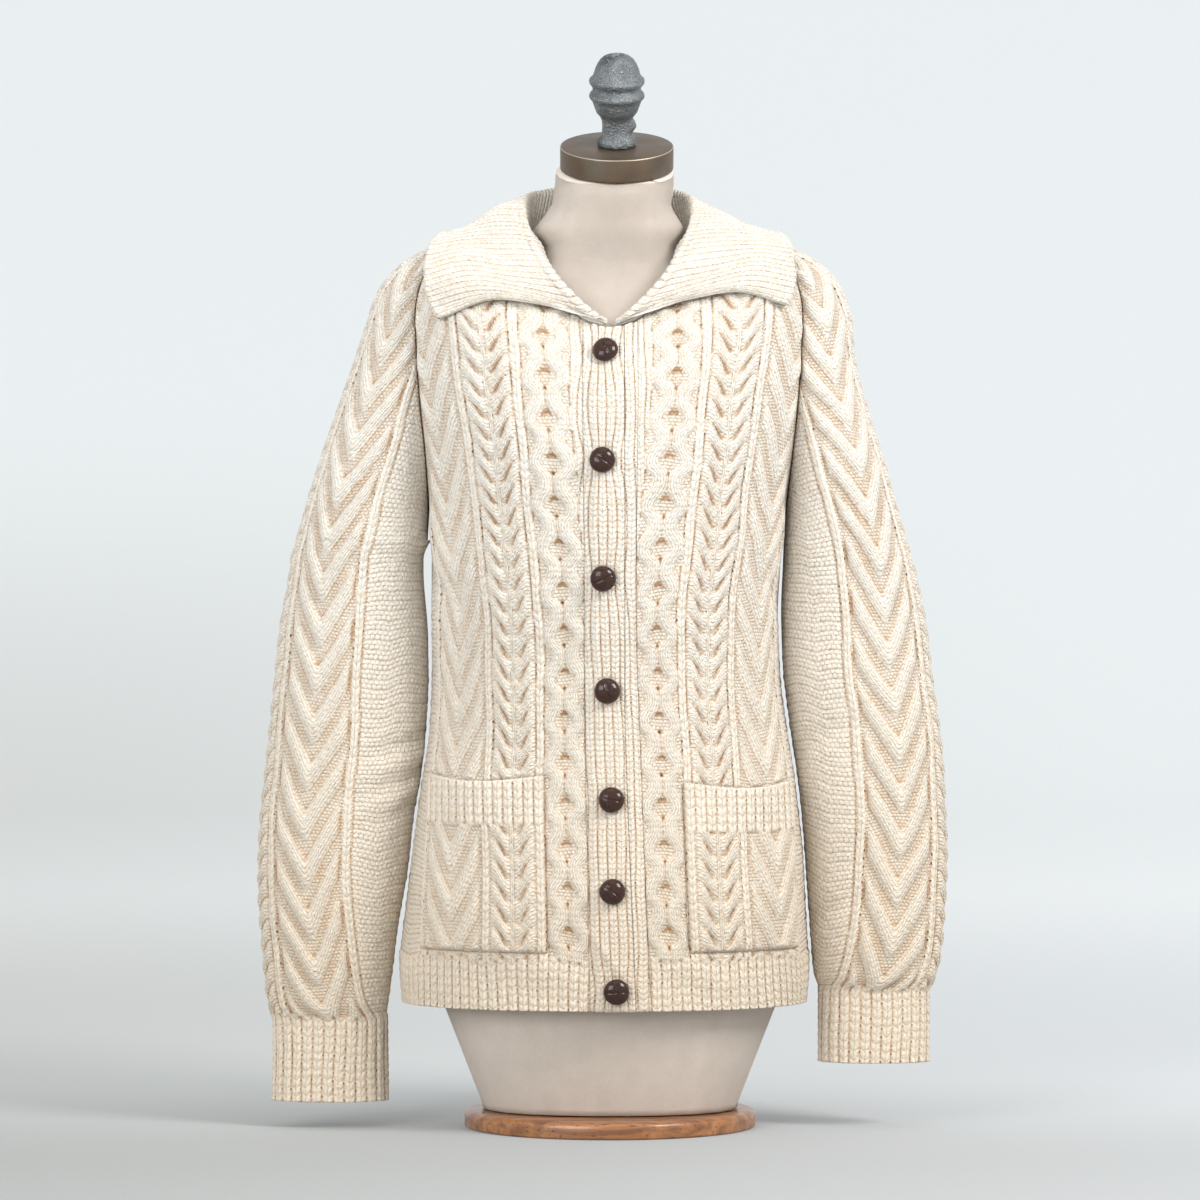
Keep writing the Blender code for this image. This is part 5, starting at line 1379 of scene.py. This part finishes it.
class Nodes:
    """Short hands for building a node tree."""

    def __init__(self, name):
        self.material = bpy.data.materials.new(name)
        self.material.use_nodes = True
        self.tree = self.material.node_tree
        self.shader = self.tree.nodes["Principled BSDF"]

    def node(self, kind, inputs=(), **settings):
        n = self.tree.nodes.new(kind)
        for key, value in settings.items():
            setattr(n, key, value)
        for key, value in dict(inputs).items():
            self.put(n.inputs[key], value)
        return n

    def put(self, socket, value):
        if isinstance(value, bpy.types.NodeSocket):
            self.tree.links.new(value, socket)
        else:
            socket.default_value = value

    def math(self, operation, *values):
        n = self.node("ShaderNodeMath", operation=operation)
        for socket, value in zip(n.inputs, values):
            self.put(socket, value)
        return n.outputs[0]

    def mul(self, a, b):
        return self.math("MULTIPLY", a, b)

    def add(self, a, b):
        return self.math("ADD", a, b)

    def sub(self, a, b):
        return self.math("SUBTRACT", a, b)

    def mix(self, share, a, b, how="MIX"):
        n = self.node("ShaderNodeMix", data_type="RGBA", blend_type=how)
        for key, value in ((0, share), (6, a), (7, b)):
            self.put(n.inputs[key], value)
        return n.outputs[2]

    def span(self, value, low, high, to_low=0.0, to_high=1.0):
        n = self.node("ShaderNodeMapRange", interpolation_type="SMOOTHSTEP")
        for key, v in enumerate((value, low, high, to_low, to_high)):
            self.put(n.inputs[key], v)
        return n.outputs[0]

    def noise(self, scale, detail=2.0, vector=None, distortion=0.0):
        n = self.node("ShaderNodeTexNoise", {"Scale": scale, "Detail": detail, "Distortion": distortion})
        self.put(n.inputs["Vector"], vector or self.node("ShaderNodeTexCoord").outputs["Object"])
        return n.outputs["Fac"]

    def bump(self, height, distance, normal=None, strength=1.0):
        n = self.node("ShaderNodeBump", {"Height": height, "Distance": distance, "Strength": strength})
        if normal is not None:
            self.put(n.inputs["Normal"], normal)
        return n.outputs[0]

    def surface(self, **values):
        for key, value in values.items():
            self.put(self.shader.inputs[key.replace("_", " ")], value)
        return self.material


def wool(name):
    """Knitted wool: V stitches, purl bumps or moss, with holes, warm painted shade in its grooves and holes, and
    painted shade that grows towards the bottom.
    """
    k = Nodes(name)
    cell = k.node("ShaderNodeSeparateXYZ", {0: k.node("ShaderNodeUVMap", uv_map="stitch").outputs[0]})
    kind = k.node("ShaderNodeSeparateXYZ", {0: k.node("ShaderNodeUVMap", uv_map="kind").outputs[0]})
    painted_shade_and_wear = k.node("ShaderNodeAttribute", attribute_name="painted_shade_and_wear").outputs["Fac"]
    wobble = k.mul(k.sub(k.noise(160.0, 1.0), 0.5), 0.22)
    x = k.add(cell.outputs[0], wobble)
    y = k.add(cell.outputs[1], wobble)
    fx = k.mul(k.math("ABSOLUTE", k.sub(k.math("FRACT", x), 0.5)), 2.0)
    # a V stitch: two legs that meet at the cell's middle, each a small plump arch
    leg = k.sub(k.mul(fx, 2.0), 1.0)
    leg = k.math("SQRT", k.math("MAXIMUM", k.sub(1.0, k.mul(leg, leg)), 0.0))
    yv = k.math("FRACT", k.sub(y, k.mul(fx, 0.55)))
    part = k.sub(k.mul(yv, 2.0), 1.0)
    part = k.sub(1.0, k.math("POWER", k.math("ABSOLUTE", part), 2.6))
    vee = k.mul(leg, k.add(0.35, k.mul(part, 0.65)))
    # purl: low bumps in offset rows
    row = k.math("FLOOR", y)
    px = k.math("FRACT", k.add(x, k.mul(row, 0.5)))
    px = k.math("ABSOLUTE", k.sub(k.mul(px, 2.0), 1.0))
    py = k.math("ABSOLUTE", k.sub(k.mul(k.math("FRACT", y), 2.0), 1.0))
    purl = k.sub(1.0, k.add(k.mul(px, px), k.mul(py, py)))
    purl = k.math("SQRT", k.math("MAXIMUM", purl, 0.0))
    purled = k.math("COMPARE", kind.outputs[0], 1.0, 0.3)
    mossy = k.math("COMPARE", kind.outputs[0], 2.0, 0.3)
    plain = k.math("COMPARE", kind.outputs[0], 3.0, 0.3)
    vee_share = k.sub(1.0, k.math("MINIMUM", k.add(k.add(purled, mossy), plain), 1.0))
    stitch = k.add(k.mul(vee, vee_share), k.mul(purl, k.add(purled, mossy)))
    stitch = k.add(stitch, k.mul(plain, 0.7))
    # painted shade in small holes at the borders between ribs, one to each row of stitches, of uneven strength
    side = k.sub(1.0, fx)
    step = k.math("ABSOLUTE", k.sub(k.math("FRACT", k.add(y, 0.5)), 0.5))
    hole_shade = k.math("POWER", k.mul(side, 4.8), 2.0)
    hole_shade = k.add(hole_shade, k.math("POWER", k.mul(step, 5.6), 2.0))
    hole_shade = k.mul(k.span(hole_shade, 0.15, 1.3, 1.0, 0.0), kind.outputs[1])
    hole_shade = k.mul(hole_shade, k.span(k.noise(75.0, 1.0), 0.36, 0.62, 0.15, 1.0))
    # fibres and soft unevenness
    fuzz = k.noise(1300.0, 4.0, distortion=0.8)
    clump = k.noise(420.0, 3.0, distortion=0.5)
    broad = k.noise(9.0, 2.0)
    height = k.add(k.mul(stitch, 0.85), k.mul(fuzz, 0.8))
    height = k.add(height, k.mul(clump, 1.1))
    height = k.sub(height, k.mul(hole_shade, 0.9))
    # painted shade: the low parts of each stitch are coloured a warm tan
    low = k.span(stitch, 0.05, 0.7, 1.0, 0.0)
    own = k.math("FLOOR", x), k.math("FLOOR", k.sub(y, k.mul(fx, 0.55)))
    own = k.node("ShaderNodeCombineXYZ", {"X": own[0], "Y": own[1]})
    own = k.node("ShaderNodeTexWhiteNoise", {"Vector": own.outputs[0]}, noise_dimensions="2D").outputs["Value"]
    # painted shade: thin dark lines along the borders between ribs
    line = k.span(side, 0.0, 0.3, 1.0, 0.0)
    line = k.mul(line, k.math("MINIMUM", k.mul(kind.outputs[1], 1.5), 1.0))
    line = k.mul(line, k.span(clump, 0.3, 0.65, 0.25, 0.75))
    share = k.add(0.38, k.mul(vee_share, 0.16))
    # painted shade in the grooves, by the groove depth attribute, and in the low places of the clumpy bump
    groove = k.add(k.mul(low, share), k.mul(painted_shade_and_wear, 1.0))
    groove = k.math("MAXIMUM", groove, line)
    groove = k.add(groove, k.mul(k.sub(0.47, clump), 1.3))
    groove = k.math("MAXIMUM", k.math("MINIMUM", groove, 1.0), 0.0)
    high_up = k.node("ShaderNodeSeparateXYZ", {0: k.node("ShaderNodeTexCoord").outputs["Object"]}).outputs[2]
    colour = k.mix(broad, linear(245, 239, 228), linear(251, 247, 239))
    # painted shade: the wool darker and warmer towards the bottom, where less light falls
    colour = k.mix(k.span(high_up, 0.0, 0.62, 1.0, 0.0), colour, linear(231, 216, 194))
    shade = k.mul(k.mul(own, own), k.mul(vee_share, 0.5))
    colour = k.mix(shade, colour, linear(229, 214, 193))
    colour = k.mix(k.mul(fuzz, 0.35), colour, linear(232, 221, 204))
    # the painted groove shade, a warm tan
    colour = k.mix(groove, colour, linear(210, 179, 145))
    # painted shade: the deepest grooves a warm brown, the slits under the ring hollows near black
    deep = k.span(painted_shade_and_wear, 0.5, 1.05)
    colour = k.mix(k.mul(deep, 0.7), colour, linear(170, 124, 84))
    colour = k.mix(k.span(painted_shade_and_wear, 1.05, 1.5), colour, linear(66, 46, 34))
    # the painted shade of the holes
    colour = k.mix(hole_shade, colour, linear(84, 58, 42))
    return k.surface(
        Base_Color=colour, Roughness=0.95, Normal=k.bump(height, 0.0017), Sheen_Weight=0.2, Sheen_Roughness=0.6,
        Sheen_Tint=(1.0, 0.96, 0.9, 1), Specular_IOR_Level=0.15,
    )


def leather(name):
    k = Nodes(name)
    grain = k.node("ShaderNodeTexVoronoi", {"Scale": 900.0, "Randomness": 1.0}, feature="DISTANCE_TO_EDGE")
    k.put(grain.inputs["Vector"], k.node("ShaderNodeTexCoord").outputs["Object"])
    crease = k.span(grain.outputs["Distance"], 0.0, 0.12)
    patch = k.noise(150.0, 3.0)
    colour = k.mix(patch, linear(36, 14, 8), linear(68, 33, 18))
    colour = k.mix(k.mul(k.sub(1.0, crease), 0.6), colour, linear(16, 8, 5))
    rough = k.span(patch, 0.3, 0.7, 0.2, 0.36)
    return k.surface(
        Base_Color=colour, Roughness=rough, Normal=k.bump(crease, 0.00018), Specular_IOR_Level=0.22,
        Coat_Weight=0.4, Coat_Roughness=0.07,
    )


def linen(name):
    """A plain weave with uneven threads, with painted shade where the weave lies low."""
    k = Nodes(name)
    cell = k.node("ShaderNodeSeparateXYZ", {0: k.node("ShaderNodeUVMap", uv_map="stitch").outputs[0]})
    wobble = k.mul(k.sub(k.noise(220.0, 2.0), 0.5), 0.5)
    height = None
    for axis in (0, 1):
        thread = k.add(k.mul(cell.outputs[axis], 1.35), wobble)
        wave = k.math("ABSOLUTE", k.math("SINE", k.mul(thread, math.pi)))
        height = wave if height is None else k.add(height, wave)
    warp = k.noise(420.0, 2.0)
    height = k.add(height, k.mul(warp, 0.6))
    colour = k.mix(k.noise(60.0, 3.0), linear(212, 198, 184), linear(228, 215, 202))
    # painted shade between the threads, where the weave lies low
    colour = k.mix(k.mul(k.span(height, 0.7, 1.6, 1.0, 0.0), 0.6), colour, linear(160, 140, 120))
    return k.surface(Base_Color=colour, Roughness=0.9, Normal=k.bump(height, 0.0003), Sheen_Weight=0.2)


def bronze(name):
    k = Nodes(name)
    patch = k.noise(40.0, 4.0)
    place = k.node("ShaderNodeTexCoord").outputs["Object"]
    place = k.node("ShaderNodeMapping", {"Vector": place, "Scale": (1.0, 1.0, 30.0)}).outputs[0]
    brushed = k.noise(30.0, 4.0, place)
    painted_shade_and_wear = k.node("ShaderNodeAttribute", attribute_name="painted_shade_and_wear").outputs["Fac"]
    colour = k.mix(patch, linear(72, 58, 45), linear(110, 94, 77))
    colour = k.mix(k.span(k.noise(22.0, 5.0), 0.5, 0.72, 0.0, 0.6), colour, linear(96, 96, 88))
    colour = k.mix(k.mul(k.span(painted_shade_and_wear, 0.3, 1.0), 0.7), colour, linear(206, 194, 176))
    rough = k.span(patch, 0.3, 0.7, 0.34, 0.5)
    return k.surface(Base_Color=colour, Roughness=rough, Metallic=0.5, Normal=k.bump(brushed, 0.00008))


def cast_metal(name):
    k = Nodes(name)
    patch, fine = k.noise(70.0, 5.0), k.noise(600.0, 3.0)
    colour = k.mix(patch, linear(66, 70, 72), linear(142, 146, 148))
    colour = k.mix(k.span(k.noise(26.0, 3.0), 0.55, 0.75), colour, linear(60, 62, 62))
    colour = k.mix(k.span(fine, 0.6, 0.75), colour, linear(176, 180, 180))
    height = k.add(k.mul(fine, 1.1), patch)
    return k.surface(Base_Color=colour, Roughness=0.44, Metallic=0.7, Normal=k.bump(height, 0.0013))


def wood(name):
    k = Nodes(name)
    place = k.node("ShaderNodeTexCoord").outputs["Object"]
    place = k.node("ShaderNodeMapping", {"Vector": place, "Scale": (3.0, 26.0, 26.0)})
    grain = k.node("ShaderNodeTexNoise", {"Vector": place.outputs[0], "Scale": 3.0, "Detail": 6.0, "Distortion": 0.8})
    pores = k.node("ShaderNodeTexNoise", {"Vector": place.outputs[0], "Scale": 24.0, "Detail": 3.0})
    colour = k.mix(k.span(grain.outputs["Fac"], 0.3, 0.7), linear(112, 70, 40), linear(166, 112, 68))
    colour = k.mix(k.span(pores.outputs["Fac"], 0.58, 0.7), colour, linear(80, 48, 28))
    return k.surface(Base_Color=colour, Roughness=0.38, Normal=k.bump(pores.outputs["Fac"], 0.00015), Coat_Weight=0.3)


# ---------------------------------------------------------------- the whole
def area_light(name, at, aim, size, power, colour=(1, 1, 1)):
    data = bpy.data.lights.new(name, "AREA")
    data.shape, data.size, data.size_y = "RECTANGLE", size[0], size[1]
    data.energy, data.color = power, colour
    o = bpy.data.objects.new(name, data)
    bpy.context.scene.collection.objects.link(o)
    o.location = at
    o.rotation_euler = (Vector(aim) - Vector(at)).to_track_quat("-Z", "Y").to_euler()


def make_stage():
    """A pale floor that curves up all round into a backdrop, with soft light from above and in front; its colour holds
    painted shade, darker to the left and near the form, and it glows with painted light behind the form, far off and
    up the walls.
    """
    floor_reach, bend, high, sides = 7.0, 1.5, 3.4, 96
    profile = [(0.4, 0.0), (2.0, 0.0), (4.5, 0.0)]
    profile += [(floor_reach + bend * math.sin(a), bend - bend * math.cos(a)) for a in np.linspace(0, math.pi / 2, 24)]
    profile.append((floor_reach + bend, high))
    turn = np.linspace(0, 2 * math.pi, sides, endpoint=False)
    points = [(r * math.cos(a), r * math.sin(a), z - 0.0002) for r, z in profile for a in turn]
    faces = [tuple(range(sides))]
    for i in range(len(profile) - 1):
        for k in range(sides):
            a, b = i * sides + k, i * sides + (k + 1) % sides
            faces.append((a, a + sides, b + sides, b))
    mesh = bpy.data.meshes.new("sweep")
    mesh.from_pydata(points, [], faces)
    mesh.polygons.foreach_set("use_smooth", np.ones(len(mesh.polygons), bool))
    sweep = bpy.data.objects.new("sweep", mesh)
    bpy.context.scene.collection.objects.link(sweep)
    k = Nodes("paper")
    place = k.node("ShaderNodeSeparateXYZ", {0: k.node("ShaderNodeTexCoord").outputs["Object"]}).outputs
    away = k.math("SQRT", k.add(k.math("POWER", place[0], 2.0), k.math("POWER", place[1], 2.0)))
    # painted shade: the paper darker towards the left and on the floor near the form, lighter far off
    paper = k.mix(k.span(place[0], -0.9, 0.9), (0.335, 0.34, 0.33, 1), (0.43, 0.44, 0.445, 1))
    paper = k.mix(k.span(away, 0.8, 4.0), paper, (0.53, 0.54, 0.54, 1))
    # painted light: the paper glows behind the form, far off and up the walls, though it is no lamp
    behind = k.mix(k.span(place[0], -0.9, 0.9), (0.18, 0.185, 0.18, 1), (0.21, 0.225, 0.235, 1))
    painted_glow = k.mix(k.span(place[1], -0.35, 0.5), (0, 0, 0, 1), behind)
    far = k.mix(k.span(place[0], -1.5, 1.5), (0.2, 0.2, 0.185, 1), (0.34, 0.355, 0.36, 1))
    painted_glow = k.mix(k.span(away, 0.9, 4.0), painted_glow, far)
    painted_glow = k.mix(k.span(place[2], 0.0, 1.0), painted_glow, (0.335, 0.355, 0.36, 1))
    mesh.materials.append(
        k.surface(Base_Color=paper, Roughness=0.95, Specular_IOR_Level=0.1, Emission_Color=painted_glow, Emission_Strength=1.0)
    )
    world = bpy.data.worlds.new("studio")
    bpy.context.scene.world = world
    world.use_nodes = True
    background = world.node_tree.nodes["Background"]
    background.inputs["Color"].default_value = (0.95, 0.975, 1.0, 1)
    background.inputs["Strength"].default_value = 0.85
    area_light("key", (2.5, -2.0, 2.7), (0, 0, 0.5), (1.3, 1.3), 124, (1.0, 0.98, 0.96))
    area_light("fill", (-2.2, -3.4, 1.6), (0, 0, 0.45), (2.4, 2.0), 110, (0.985, 0.99, 1.0))
    area_light("top", (0.1, -0.9, 3.0), (0, 0, 0.6), (1.6, 1.2), 6)


def make_camera():
    data = bpy.data.cameras.new("camera")
    data.sensor_width, data.lens = 36, 153.4
    data.clip_start, data.clip_end = 0.1, 50
    camera = bpy.data.objects.new("camera", data)
    bpy.context.scene.collection.objects.link(camera)
    camera.location = (-0.0088, -4.5, 0.462)
    camera.rotation_euler = (math.pi / 2, 0, 0)
    bpy.context.scene.camera = camera


def main():
    for name in ("Cube", "Camera", "Light"):
        if name in bpy.data.objects:
            bpy.data.objects.remove(bpy.data.objects[name], do_unlink=True)
    make_camera()
    make_stage()
    bpy.context.scene.view_settings.view_transform = "Standard"
    yarn = wool("wool")
    fronts = {side: make_front(side, yarn) for side in ("left", "right")}
    sleeves = {side: make_sleeve(side, yarn) for side in ("left", "right")}
    bands = {side: make_band(side, yarn) for side in ("left", "right")}
    pockets = {side: make_pocket(side, yarn) for side in ("left", "right")}
    back = make_back(yarn)
    collar = make_collar(yarn)
    hide = leather("leather")
    for k in range(len(BUTTONS)):
        make_button(k, hide)
    make_torso(linen("linen"))
    tilt = (0, -math.sin(NECK_LEAN), math.cos(NECK_LEAN))
    lathe("turned_cap", CAP_PROFILE, CAP, tilt, 128, bronze("bronze"), "form_cap", worn=(5,))
    metal, turned = cast_metal("cast_metal"), rounded(FINIAL_PROFILE, 0.7, 3)
    lathe("cast_finial", turned, CAP, tilt, 96, metal, "form_finial", rough_casting)
    lathe("turned_base", rounded(BASE_PROFILE, 0.8), (0, 0, 0), (0, 0, 1), 128, wood("wood"), "form_base")


main()
